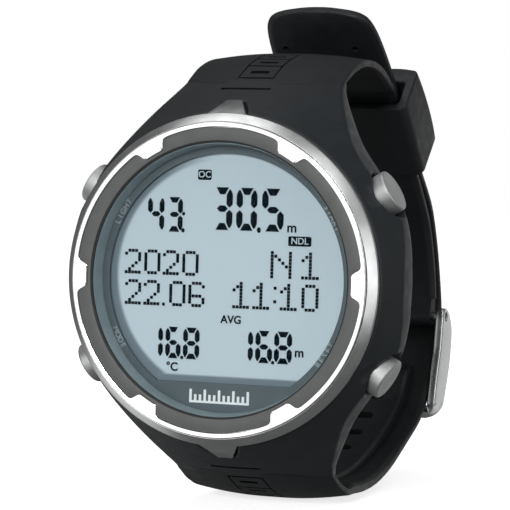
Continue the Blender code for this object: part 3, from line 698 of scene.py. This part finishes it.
def window_outline():
    """The display's window: a circle with a flat at its foot."""
    turn = atan2(WINDOW_FLAT, (WINDOW_RADIUS**2 - WINDOW_FLAT**2) ** 0.5)
    span = pi - 2.0 * turn
    angles = [turn + span * i / (ROUND_STEPS - 1) for i in range(ROUND_STEPS)]
    return [(WINDOW_RADIUS * cos(a), WINDOW_RADIUS * sin(a)) for a in angles]


def make_figures():
    plates = []
    figure("43", -13.55, 12.58, ((0.0, 2.8), (3.1, 2.85)), 5.43, 0.87, plates)
    spot(-7.45, 10.02, 0.55, 0.62, plates)
    spot(-7.5, 7.42, 0.62, 0.72, plates)
    figure("305", -2.68, 14.33, ((0.0, 3.45), (4.1, 3.45), (8.35, 3.6)), 6.64, 1.1, plates)
    spot(5.24, 7.85, 0.68, 0.95, plates)
    figure("168", -11.21, -7.75, ((0.0, 2.5), (1.23, 2.6), (4.24, 2.76)), 4.92, 0.84, plates)
    spot(-7.13, -12.5, 0.55, 0.6, plates)
    figure("168", 3.95, -7.68, ((0.0, 2.7), (1.24, 2.8), (4.34, 2.94)), 5.0, 0.88, plates)
    spot(8.12, -12.55, 0.58, 0.62, plates)
    dots("2020", -17.28, 4.23, (0.0, 3.33, 6.5, 9.83), 0.565, 0.486, plates)
    dots("22.06", -17.14, -0.55, (0.0, 3.21, 6.4, 7.6, 10.85), 0.565, 0.496, plates)
    dots("N1", 7.33, 4.69, (0.0, 5.1), 0.6, 0.53, plates)
    dots("11:10", 1.15, -0.26, (0.0, 3.34, 6.8, 7.9, 11.43), 0.575, 0.525, plates)
    box = ((-1.15, -0.8), (1.15, -0.8), (1.15, 0.8), (-1.15, 0.8))
    plates.append([(-4.03 + x, 16.2 + z) for x, z in rounded(box, 0.3)])
    plates.append([(12.05 + x * 1.65, 6.32 + z * 0.95) for x, z in rounded(box, 0.22)])
    units = (
        ("m", 2.15, (10.68, 8.35)), ("m", 2.05, (12.45, -10.85)), ("AVG", 1.72, (0.99, -6.26)),
        ("°C", 1.85, (-8.77, -14.05)),
    )
    words = [written(*unit, FIGURE_FRONT + 0.02, bold=FIGURE_BOLD) for unit in units]
    piece("display_figures", joined(words, plates, FIGURE_FRONT, FIGURE_BACK), "figure_ink")
    boxed = (("OC", 1.42, (-4.03, 16.2)), ("NDL", 1.42, (12.05, 6.32)))
    words = [written(*mark, FIGURE_FRONT - 0.035, bold=BOX_BOLD) for mark in boxed]
    piece("display_box_words", joined(words), "box_ink")


def arc_word(text, middle, outward):
    """Letters along the label circle, with their tops outward or inward. middle is in degrees."""
    step = LABEL_SIZE * 0.74 / LABEL_RADIUS
    found = []
    for i, letter in enumerate(text):
        along = (i - (len(text) - 1) / 2.0) * step
        angle = radians(middle) - along if outward else radians(middle) + along
        turn = angle - pi / 2.0 if outward else angle + pi / 2.0
        centre = (LABEL_RADIUS * cos(angle), LABEL_RADIUS * sin(angle))
        found.append(written(letter, LABEL_SIZE, centre, MASK_FRONT - 0.02, turn, LABEL_BOLD))
    return found


def make_display():
    disc = plate(circle(20.95, ROUND_STEPS), MASK_FRONT, LCD_FRONT - 0.02)
    mask = combine(disc, [plate(window_outline(), 3.0, 4.4)])
    piece("window_mask", mask, "mask_print", ["display_mask"])
    # the wall takes the pale mask_wall material, painted light that makes its shaded side read as the
    # mask's colour
    wall = turned(((21.12, 0.9), (21.2, 0.9), (21.2, 3.46), (20.75, 3.46)))
    piece("window_wall", wall, "mask_wall")
    panel = plate(circle(19.9, ROUND_STEPS), LCD_FRONT, 5.6)
    piece("display_panel", panel, "lcd_film", ["lcd_panel"])
    make_figures()
    words = [letter for label in LABELS for letter in arc_word(*label)]
    piece("button_labels", joined(words), "label_ink")
    left, foot, wide, count = -5.4, -19.0, 0.42, 13
    ticks = []
    for i in range(count):
        x = left + 0.8 * i
        top = foot + (1.75 if i % 3 == 0 else 0.95)
        ticks.append([(x, foot), (x + wide, foot), (x + wide, top), (x, top)])
    right = x + wide
    ticks.append([(left, foot - 0.35), (right, foot - 0.35), (right, foot), (left, foot)])
    scale = joined([], ticks, MASK_FRONT - 0.035, MASK_FRONT - 0.004)
    piece("mask_scale", scale, "white_ink")


# ---- case

CASE_END = 31.45
CASE_STATIONS = (  # height, side half-width, side depth, back half-width, back depth
    (0.0, 28.2, 12.4, 24.6, 17.0),
    (6.0, 27.9, 12.4, 24.3, 17.0),
    (11.0, 26.8, 12.3, 23.2, 17.0),
    (14.5, 24.7, 12.1, 21.8, 17.0),
    (17.5, 21.9, 12.0, 20.3, 17.0),
    (21.5, 18.9, 12.9, 17.4, 17.3),
    (25.6, 16.4, 15.1, 15.1, 18.7),
    (29.5, 14.1, 17.9, 13.0, 21.2),
    (CASE_END, 13.4, 19.9, 12.5, 22.4),
)
CASE_VOXEL, CASE_SMOOTHING = 0.3, 5
DOME_EDGE, DOME_REACH, DOME_SLOPE = (25.9, 2.3), 14.0, 2.0  # the cone that trims the front shoulders
BUTTON_ANGLES = (30.0, -30.0, -150.0, 150.0)
BUTTON_DEPTH = 9.5
LUG_PIN = (18.6, 28.6)  # depth, height
PIN_BORE = 0.85
BACK_SCREW_REACH = 16.4


def hull(points):
    return [points[i] for i in convex_hull_2d([Vector(p) for p in points])]


def back_outline(grow):
    points = circle(21.8 + grow, 96)
    for sx in (-1, 1):
        for sz in (-1, 1):
            points += circle(2.4 + grow, 20, (sx * BACK_SCREW_REACH, sz * BACK_SCREW_REACH))
    return hull(points)


def on_button(angle, along, side, deep):
    """A point given along, beside and behind the axis of the button at an angle."""
    a = radians(angle)
    return at(along * cos(a) - side * sin(a), BUTTON_DEPTH + deep, along * sin(a) + side * cos(a))


def button_rod(angle, start, end, radius, count=40, end_radius=None):
    ends = ((start, radius), (end, end_radius or radius))
    return skin([[on_button(angle, s, a, b) for a, b in circle(r, count)] for s, r in ends])


def dent(angle):
    """An ellipsoid that cuts a soft thumb dent in the shoulder in front of a button."""
    rings = []
    for i in range(1, 12):
        side, radius = 3.4 * cos(pi * i / 12), 2.3 * sin(pi * i / 12)
        rings.append([on_button(angle, 28.6 + a, side, -5.75 + b) for a, b in circle(radius, 28)])
    return skin(rings)


def pin_hole(depth, z, half=15.0):
    """A cutter for the bore of a pin that lies along X."""
    return rod(at(-half, depth, z), at(half, depth, z), PIN_BORE)


def lug_pin_hole(sign):
    return pin_hole(LUG_PIN[0], sign * LUG_PIN[1], 12.2)


def case_rings():
    """Cross-sections of the case from 6 to 12 o'clock: flanks that slope back to the wrist side."""
    stations = smooth_path(CASE_STATIONS, 6)
    stations = [(-s[0], *s[1:]) for s in reversed(stations[1:])] + [tuple(s) for s in stations]
    rings = []
    for z, side, side_depth, back, back_depth in stations:
        outline = [(side, 1.3), (side, side_depth), (back, back_depth)]
        outline += [(-x, depth) for x, depth in reversed(outline)]
        radii = (0.0, 2.6, 1.2, 1.2, 2.6, 0.0)
        rings.append([at(x, depth, z) for x, depth in rounded(outline, radii, 5)])
    return rings


def on_end(x, depth, sign, z):
    """A slab on the case end that sign gives."""
    return slab(x, depth, sorted((sign * z[0], sign * z[1])))


def make_case():
    dome = []
    for reach in (0.0, DOME_REACH):
        radius, depth = DOME_EDGE[0] + reach, DOME_EDGE[1] + DOME_SLOPE * reach
        dome.append([at(x, depth, z) for x, z in circle(radius, ROUND_STEPS)])
    case = combine(skin(case_rings()), [skin(dome)], "INTERSECT")
    tools = [
        plate(circle(25.25, 120), 1.0, 5.5),  # seat of the bezel
        plate(circle(21.6, 80), 5.0, 13.5),  # bay of the display module
        plate(circle(19.2, 80, phase=0.4), 13.0, 18.0),  # opening on the wrist side
        plate(back_outline(0.3), 15.0, 19.0),  # recess of the case back
    ]
    tools += [tab(sign, 0.5, 1.5) for sign in BOTH_ENDS]
    tools += [on_end((-9.3, 9.3), (15.9, 25.0), sign, (26.4, 33.0)) for sign in BOTH_ENDS]
    tools += [lug_pin_hole(sign) for sign in BOTH_ENDS]
    for angle in BUTTON_ANGLES:
        tools += [
            button_rod(angle, 18.0, 28.0, 3.3),
            button_rod(angle, 25.3, 31.0, 3.7),
            button_rod(angle, 27.1, 33.0, 3.7, end_radius=6.8),
            dent(angle),
        ]
    marks = [on_end((-4.5, 4.0), (8.0, 12.2), sign, (29.75, 30.05)) for sign in BOTH_ENDS]
    case = combine(remeshed(combine(case, tools), CASE_VOXEL, CASE_SMOOTHING), marks)
    piece("case_shell", case, "case_rubber", ["case_body"], sharp=70.0)


# ---- buttons

CAP_PROFILE = (  # distance from the display's axis, radius
    (26.5, 0.7), (26.5, 3.2), (26.62, 3.35), (27.5, 3.35), (28.6, 3.35), (28.98, 3.35), (29.08, 3.34),
    (29.17, 3.3), (29.25, 3.23), (29.29, 3.14), (29.3, 3.02), (29.3, 2.4), (29.3, 1.2), (29.3, 0.02),
)


def make_buttons():
    for number, angle in enumerate(BUTTON_ANGLES, 1):
        rings = [[on_button(angle, s, a, b) for a, b in circle(r, 72)] for s, r in CAP_PROFILE]
        shaft = button_rod(angle, 19.6, 27.0, 1.25, 32)
        body = combine(skin(rings), [shaft], "UNION")
        name = f"button_{number}"
        piece(f"button_cap_{number}", body, "button_steel", [name], name)


# ---- strap

BURIED_ROOT = ((12.0, 30.9), (22.2, 30.9), 13.42, 6.1)  # inside the case end
ROOT_STATIONS = (  # outer point, inner point, half-width, crown
    ((13.2, 31.5), (22.3, 31.5), 13.4, 5.5),
    ((18.0, 33.9), (23.3, 32.1), 13.4, 3.2),
    ((22.0, 35.3), (24.6, 33.1), 13.4, 2.0),
    ((26.2, 36.2), (27.2, 33.9), 13.3, 1.3),
)
UPPER_PATH = (  # depth and height of the outer side, half-width
    (31.0, 36.6, 13.1), (37.0, 36.3, 12.6), (42.5, 35.2, 12.1), (47.6, 33.5, 11.6),
    (52.5, 31.3, 11.2), (60.0, 23.87, 11.1), (67.4, 16.5, 11.0), (70.9, 12.9, 11.0),
    (73.9, 9.2, 11.0), (76.4, 4.2, 11.0), (78.0, -0.5, 11.0), (78.8, -4.6, 11.0),
)
LOWER_PATH = (
    (31.0, -36.65, 13.0), (38.0, -36.62, 12.4), (46.0, -35.65, 11.9), (54.2, -33.4, 11.6),
    (62.9, -30.0, 11.4), (68.8, -26.9, 11.6), (72.9, -23.9, 11.5), (75.9, -19.8, 11.6),
    (78.6, -14.6, 11.6), (81.0, -10.2, 11.4), (81.94, -6.9, 11.1), (81.45, -3.1, 11.0),
    (78.7, 4.9, 11.0), (75.0, 12.2, 10.9), (68.5, 18.6, 10.8), (61.1, 26.0, 10.7),
    (54.0, 33.1, 10.5), (49.6, 37.6, 10.2), (45.6, 41.3, 9.8), (43.4, 43.3, 9.1),
    (42.6, 44.2, 8.0), (42.2, 44.7, 6.2), (42.0, 45.0, 3.8),
)
UPPER_THICKNESS, LOWER_THICKNESS = 2.2, 1.9
BUCKLE_PIN = (77.3, -8.0)  # depth, height
BUCKLE_TURN = radians(4.65)
TONGUE_HALF_WIDTH = 3.5
FIRST_CROWNS = {1: (1.0, 0.8, 0.6), -1: (1.5, 1.2, 0.8)}  # of each half's first three path stations
STRAP_CROWN = 0.5  # of the other stations
CROWN_SHAPE = ((1.0, 1.0), (0.66, 0.42), (0.3, 0.09))  # share of the half-width, share of the crown
STRAP_EDGE = 1.1
ROOT_SWELL = {1: 0.0, -1: 1.2}  # extra thickness of each half at its root
SWELL_START, SWELL_END = 31.0, 62.0  # depths between which the swell runs out
PAD_HALF_WIDTH, PAD_POINTS = 7.8, 31
SLOT_HALF_LENGTH, SLOT_HALF_WIDTH = 4.6, 1.0
SLOT_PITCH = 6.5
SLOT_RUNS = ((-33.6, 4), (-3.0, 3))  # height at which a run starts, number of slots


def band_ring(outer, inner, half, crown):
    """A cross-section of the strap: crowned outside, flat inside, with small rounded edges."""
    down = inner - outer
    thick = down.length
    down.normalize()
    edge = min(crown + STRAP_EDGE, thick - 0.05)
    left = [(-half * out_share, crown * share) for out_share, share in CROWN_SHAPE]
    right = [(-x, t) for x, t in reversed(left)]
    shape = [(-half, edge), *left, *right, (half, edge), (half - 0.9, thick), (-half + 0.9, thick)]
    radii = (0.25, 0.32, 2.5, 2.5, 2.5, 2.5, 0.32, 0.25, 0.3, 0.3)
    return [at(x, *(outer + down * t)) for x, t in rounded(shape, radii, 4)]


def band(path, thickness, sign):
    """The strap half from its root stations and its path. sign is -1 for the long half."""
    stations = []
    for outer, inner, half, crown in (BURIED_ROOT, *ROOT_STATIONS):
        stations.append((outer[0], sign * outer[1], inner[0], sign * inner[1], half, crown))
    fine = smooth_path(path, 1)
    for i, point in enumerate(fine):
        before, after = fine[max(i - 1, 0)], fine[min(i + 1, len(fine) - 1)]
        along = Vector((after.x - before.x, after.y - before.y)).normalized()
        near_root = max(0.0, (SWELL_END - point.x) / (SWELL_END - SWELL_START))
        thick = thickness + (ROOT_SWELL[sign] * near_root if sign * point.y > 0.0 else 0.0)
        inner = Vector((point.x, point.y)) + Vector((along.y, -along.x)) * sign * thick
        crown = FIRST_CROWNS[sign][i] if i < 3 else STRAP_CROWN
        stations.append((point.x, point.y, inner.x, inner.y, point.z, crown))
    rings = []
    for s in smooth_path(stations, 8):
        rings.append(band_ring(Vector((s[0], s[1])), Vector((s[2], s[3])), s[4], max(s[5], 0.1)))
    return skin(rings)


def pad():
    """The raised pad on the wrist side of the long half, running out at both ends."""
    path = smooth_path(LOWER_PATH, 4)[:PAD_POINTS]
    rings = []
    for i, point in enumerate(path):
        before, after = path[max(i - 1, 0)], path[min(i + 1, len(path) - 1)]
        down = Vector((before.y - after.y, after.x - before.x)).normalized()
        ramp = min(1.0, i / 2.0, (len(path) - 1 - i) / 2.0)
        half, thick = PAD_HALF_WIDTH, 1.6 + 2.2 * ramp
        shape = ((-half, 1.2), (half, 1.2), (half, thick - 0.5 * ramp), (half - 0.5, thick),
                 (-half + 0.5, thick), (-half, thick - 0.5 * ramp))
        outer = Vector((point.x, point.y))
        outline = rounded(shape, (0.0, 0.0, 0.35, 0.35, 0.35, 0.35), 3)
        rings.append([at(x, *(outer + down * t)) for x, t in outline])
    return skin(rings)


def knuckle(sign):
    """The end of a strap half between the lugs, round its pin."""
    depth, z = LUG_PIN
    outline = [(depth + a, sign * (z + b)) for a, b in circle(2.0, 32)]
    return across(hull(outline + [(17.9, sign * 32.3), (21.4, sign * 32.3)]), -9.0, 9.0)


def buckle_point(u, v):
    """A point of the buckle: u along the frame from its pin, v away from the wrist."""
    depth, z = BUCKLE_PIN
    c, s = cos(BUCKLE_TURN), sin(BUCKLE_TURN)
    return (depth - u * s + v * c, z - u * c - v * s)


def on_buckle(outline, low, high):
    """An outline of (u, v) points, extruded along X."""
    return across([buckle_point(u, v) for u, v in outline], low, high)


def slot_tool(path, index):
    """A cutter for one rounded slot of the long half."""
    here, after = path[index], path[index + 1]
    along = Vector((0.0, after.x - here.x, after.y - here.y)).normalized()
    out = along.cross(Vector((1.0, 0.0, 0.0)))
    centre = at(0.0, here.x, here.y)
    a, b = SLOT_HALF_LENGTH, SLOT_HALF_WIDTH
    outline = rounded(((-a, -b), (a, -b), (a, b), (-a, b)), 0.9, 6)
    rings = []
    for lift in (-4.0, 4.0):
        rings.append([centre + Vector((x, 0.0, 0.0)) + along * s + out * lift for x, s in outline])
    return skin(rings)


def slot_places(path):
    """Indices of the path's points at which a slot lies, in evenly spaced runs."""
    found = []
    for start_z, count in SLOT_RUNS:
        index = next(i for i, p in enumerate(path) if p.x > 50.0 and p.y > start_z)
        travelled, made = SLOT_PITCH, 0
        while made < count:
            if travelled >= SLOT_PITCH:
                found.append(index)
                made += 1
                travelled = 0.0
            travelled += hypot(path[index + 1].x - path[index].x, path[index + 1].y - path[index].y)
            index += 1
    return found


def root_groove(sign, x, start, end, deep=0.35):
    """A cutter that follows the flat middle of a strap root between two shares of its length."""
    path = []
    for outer, inner, _, crown in ROOT_STATIONS:
        top, foot = Vector((outer[0], sign * outer[1])), Vector((inner[0], sign * inner[1]))
        down = (foot - top).normalized()
        path.append((top + down * crown * CROWN_SHAPE[-1][1], down))
    places = []
    for i in range(5):
        share = (start + (end - start) * i / 4) * (len(path) - 1)
        index = min(int(share), len(path) - 2)
        places.append([a.lerp(b, share - index) for a, b in zip(path[index], path[index + 1])])
    outline = [point + down * deep for point, down in places]
    outline += [point - down for point, down in reversed(places)]
    return across(outline, *x)


def grip_tools(sign):
    """A plain ladder of sunk lines, with a short bar between its rungs, down the middle of a strap root."""
    found = [root_groove(sign, (x, x + 0.3), 0.02, 0.98) for x in (-3.05, 2.85)]
    for start in (0.02, 0.33, 0.64, 0.95):
        found.append(root_groove(sign, (-2.75, 2.85), start, start + 0.035))
    for start in (0.15, 0.46, 0.77):
        found.append(root_groove(sign, (-1.5, 1.6), start, start + 0.06, 0.5))
    return found


def make_strap():
    """Both halves: each is a band with its knuckle, cut by its pins, slots and marks."""
    end = circle(1.8, 40, BUCKLE_PIN) + [(78.55, -4.0), (76.75, -4.4)]
    eye = across(hull(end), -10.6, 10.6)
    upper = combine(band(UPPER_PATH, UPPER_THICKNESS, 1), [knuckle(1), eye], "UNION")
    half = TONGUE_HALF_WIDTH + 0.4
    notch = slab((-half, half), (74.0, 81.0), (-11.0, -5.7))
    upper = combine(upper, [pin_hole(*BUCKLE_PIN), notch, lug_pin_hole(1), *grip_tools(1)])
    piece("strap_short", upper, "strap_rubber", ["strap_upper"], sharp=40.0)
    lower = combine(band(LOWER_PATH, LOWER_THICKNESS, -1), [knuckle(-1), pad()], "UNION")
    fine = smooth_path(LOWER_PATH, 16)
    half = TONGUE_HALF_WIDTH + 0.6
    window = ((2.3, -5.0), (10.9, -5.0), (10.9, 7.0), (2.3, 7.0))
    tools = [slot_tool(fine, i) for i in slot_places(fine)]
    tools.append(on_buckle(window, -half, half))
    tools.append(lug_pin_hole(-1))
    tools += [rod(at(x, 45.6, 37.4), at(x, 47.2, 39.2), 0.55) for x in (-7.1, 5.4)]
    lower = combine(lower, tools + grip_tools(-1))
    piece("strap_long", lower, "strap_rubber", ["strap_lower"], sharp=40.0)


# ---- keeper and buckle

KEEPER_AXIS = Vector((0.0, cos(radians(-45.0)), sin(radians(-45.0))))
KEEPER_OUT = Vector((0.0, cos(radians(45.0)), sin(radians(45.0))))
KEEPER_MIDDLE = 23.3
KEEPER_HALF_WIDTH, KEEPER_LOW = 13.3, 55.3
KEEPER_CREST = (  # distance along the keeper's axis, height of its outer side
    (-7.9, 65.7), (-4.5, 66.3), (0.0, 66.7), (4.5, 66.6), (7.9, 66.0),
)
KEEPER_HOLE = ((-11.6, 56.7), (11.6, 56.7), (11.6, 62.2), (-11.6, 62.2))


def keeper_ring(offset, outline):
    """A cross-section of the keeper from an outline of (x, distance outward) points."""
    centre = at(0.0, 0.0, 0.0) + KEEPER_AXIS * (KEEPER_MIDDLE + offset)
    return [centre + Vector((x, 0.0, 0.0)) + KEEPER_OUT * n for x, n in outline]


def make_keeper():
    half, low = KEEPER_HALF_WIDTH, KEEPER_LOW
    rings = []
    for offset, crest in smooth_path(KEEPER_CREST, 6):
        right = [
            (half - 1.0, low), (half, low + 1.0), (half, crest - 1.4), (half - 0.5, crest - 0.5),
            (half - 3.0, crest),
        ]
        corners = right + [(-x, n) for x, n in reversed(right)]
        radii = (0.8, 0.8, 0.8, 0.8, 2.5, 2.5, 0.8, 0.8, 0.8, 0.8)
        rings.append(keeper_ring(offset, rounded(corners, radii, 5)))
    hole = rounded(KEEPER_HOLE, 0.8, 5)
    cutter = skin([keeper_ring(offset, hole) for offset in (-12.0, 12.0)])
    body = bevelled(combine(skin(rings), [cutter]), 0.35, 3, 50.0)
    piece("strap_keeper", body, "strap_rubber", ["keeper"], "keeper", 50.0)


RAIL_INNER, RAIL_OUTER = 11.7, 13.2
RAIL_OUTLINE = (  # u, v of buckle_point
    (-1.6, 0.6), (-0.8, 2.2), (0.8, 3.6), (2.5, 4.3), (5.5, 4.3), (8.6, 3.9), (13.0, 2.5),
    (16.2, 1.2), (17.8, 0.4), (18.4, -0.6), (18.0, -2.4), (17.0, -3.9), (15.5, -4.4),
    (11.0, -3.5), (6.0, -2.2), (2.0, -1.9), (0.0, -1.8), (-1.4, -1.1),
)
CROSSBAR_OUTLINE = (
    (16.0, -0.9), (16.0, 0.6), (16.5, 1.1), (17.8, 0.4), (18.4, -0.6), (18.0, -1.7), (17.0, -2.2),
)
TONGUE_ARM = (
    (0.6, -1.2), (1.4, -0.5), (16.0, 1.45), (18.9, 1.3), (19.2, 1.8), (18.8, 2.3),
    (16.0, 2.5), (1.4, 0.9), (0.6, 1.2),
)


def make_buckle():
    rail = rounded(RAIL_OUTLINE, 0.9, 3)
    sides = ((RAIL_INNER, RAIL_OUTER), (-RAIL_OUTER, -RAIL_INNER))
    rails = [bevelled(on_buckle(rail, low, high), 0.42, 4, 50.0) for low, high in sides]
    bar = on_buckle(rounded(CROSSBAR_OUTLINE, 0.4, 3), -12.7, 12.7)
    body = combine(rails[0], [bar, rails[1]], "UNION")
    half = RAIL_OUTER + 0.1
    plan = rounded(((-half, -3.0), (half, -3.0), (half, 18.5), (-half, 18.5)), (0.2, 0.2, 4.4, 4.4), 9)
    round_corners = skin([[at(x, *buckle_point(u, v)) for x, u in plan] for v in (-6.0, 8.0)])
    body = bevelled(combine(body, [round_corners], "INTERSECT"), 0.3, 3, 40.0)
    body = combine(body, [pin_hole(*BUCKLE_PIN)])
    piece("buckle_body", body, "buckle_steel", ["buckle_frame"], "buckle_frame", 40.0)
    half = TONGUE_HALF_WIDTH
    loop = across(circle(1.55, 40, BUCKLE_PIN), -half, half)
    arm = on_buckle(rounded(TONGUE_ARM, 0.3, 3), -half, half)
    tongue = combine(loop, [bevelled(arm, 0.25, 3, 50.0)], "UNION")
    tongue = combine(tongue, [pin_hole(*BUCKLE_PIN)])
    piece("buckle_prong", tongue, "buckle_steel", ["buckle_tongue"], "buckle_tongue", 40.0)


# ---- carried-over CAD nodes


def finish_cad_nodes():
    """Every CAD node that still shows gets the material of its slot."""
    slots = {s["node"]: s["material_slot"] for s in frame["record"]["subparts"]}
    for name, node in frame["nodes"].items():
        if not node.hide_render:
            node.data.materials.clear()
            node.data.materials.append(MATERIALS[slots[name]])


# ---- stage and light


def make_floor():
    made = Shader("floor_paper", (0.93, 0.93, 0.93), 0.7)
    place = made.place((0.05, 0.05, 0.05))
    made.set("Base Color", made.mix(made.noise(place, 1.0), (0.925, 0.925, 0.925), (0.94, 0.94, 0.94)))
    made.set("Emission Color", (1.0, 1.0, 1.0, 1.0))
    far = made.add("ShaderNodeVectorMath", {0: place}, output=1, operation="LENGTH")
    made.set("Emission Strength", made.span(far, 4.0, 16.0, 0.76, 1.0, smooth=True))
    made.bump(made.noise(made.place(), 0.8), 0.02)
    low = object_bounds()[0][2] - 0.05 * MM
    reach = 4.0
    mesh = bpy.data.meshes.new("floor")
    corners = [(-reach, -reach, low), (reach, -reach, low), (reach, reach, low), (-reach, reach, low)]
    mesh.from_pydata(corners, [], [(0, 1, 2, 3)])
    mesh.materials.append(made.material)
    floor = in_scene("floor", mesh)
    floor.visible_diffuse = False
    floor.visible_glossy = False
    floor.visible_shadow = False


LIGHTS = (  # name, azimuth, elevation, distance, width, height, radiance
    ("front_card", -24.0, 0.0, 0.9, 0.8, 0.8, 1.2),
    ("key", 5.0, 17.0, 1.0, 0.25, 0.25, 24.0),
    ("right_box", 74.0, 4.0, 0.8, 0.4, 0.6, 1.9),
    ("upper_right_box", 58.0, 54.0, 0.85, 0.4, 0.4, 1.9),
    ("top_box", -75.0, 73.0, 0.9, 0.55, 0.55, 1.9),
    ("left_box", -106.0, -34.0, 0.9, 0.5, 0.45, 0.8),
    ("back_box", 164.0, 0.0, 0.9, 0.6, 0.9, 0.55),
)
AMBIENT = 0.13


def make_light():
    """Soft boxes round the object in a white room."""
    for name, azimuth, elevation, distance, width, height, radiance in LIGHTS:
        out = direction(radians(azimuth), radians(elevation))
        data = bpy.data.lights.new(name, "AREA")
        data.shape = "RECTANGLE"
        data.size = width
        data.size_y = height
        data.energy = radiance * pi * width * height
        light = in_scene(name, data)
        light.location = out * distance
        light.rotation_euler = out.to_track_quat("Z", "Y").to_euler()
        light.visible_camera = False
    world = bpy.data.worlds.new("studio")
    world.use_nodes = True
    tree = world.node_tree
    ambient = tree.nodes["Background"]
    ambient.inputs["Strength"].default_value = AMBIENT
    seen = tree.nodes.new("ShaderNodeBackground")
    for background in (ambient, seen):
        background.inputs["Color"].default_value = (1.0, 1.0, 1.0, 1.0)
    path = tree.nodes.new("ShaderNodeLightPath")
    both = tree.nodes.new("ShaderNodeMixShader")
    tree.links.new(path.outputs["Is Camera Ray"], both.inputs[0])
    tree.links.new(ambient.outputs[0], both.inputs[1])
    tree.links.new(seen.outputs[0], both.inputs[2])
    tree.links.new(both.outputs[0], tree.nodes["World Output"].inputs["Surface"])
    bpy.context.scene.world = world
    bpy.context.scene.view_settings.view_transform = "Standard"


def main():
    make_camera()
    make_bezel()
    make_display()
    make_case()
    make_buttons()
    make_strap()
    make_keeper()
    make_buckle()
    finish_cad_nodes()
    make_floor()
    make_light()


main()
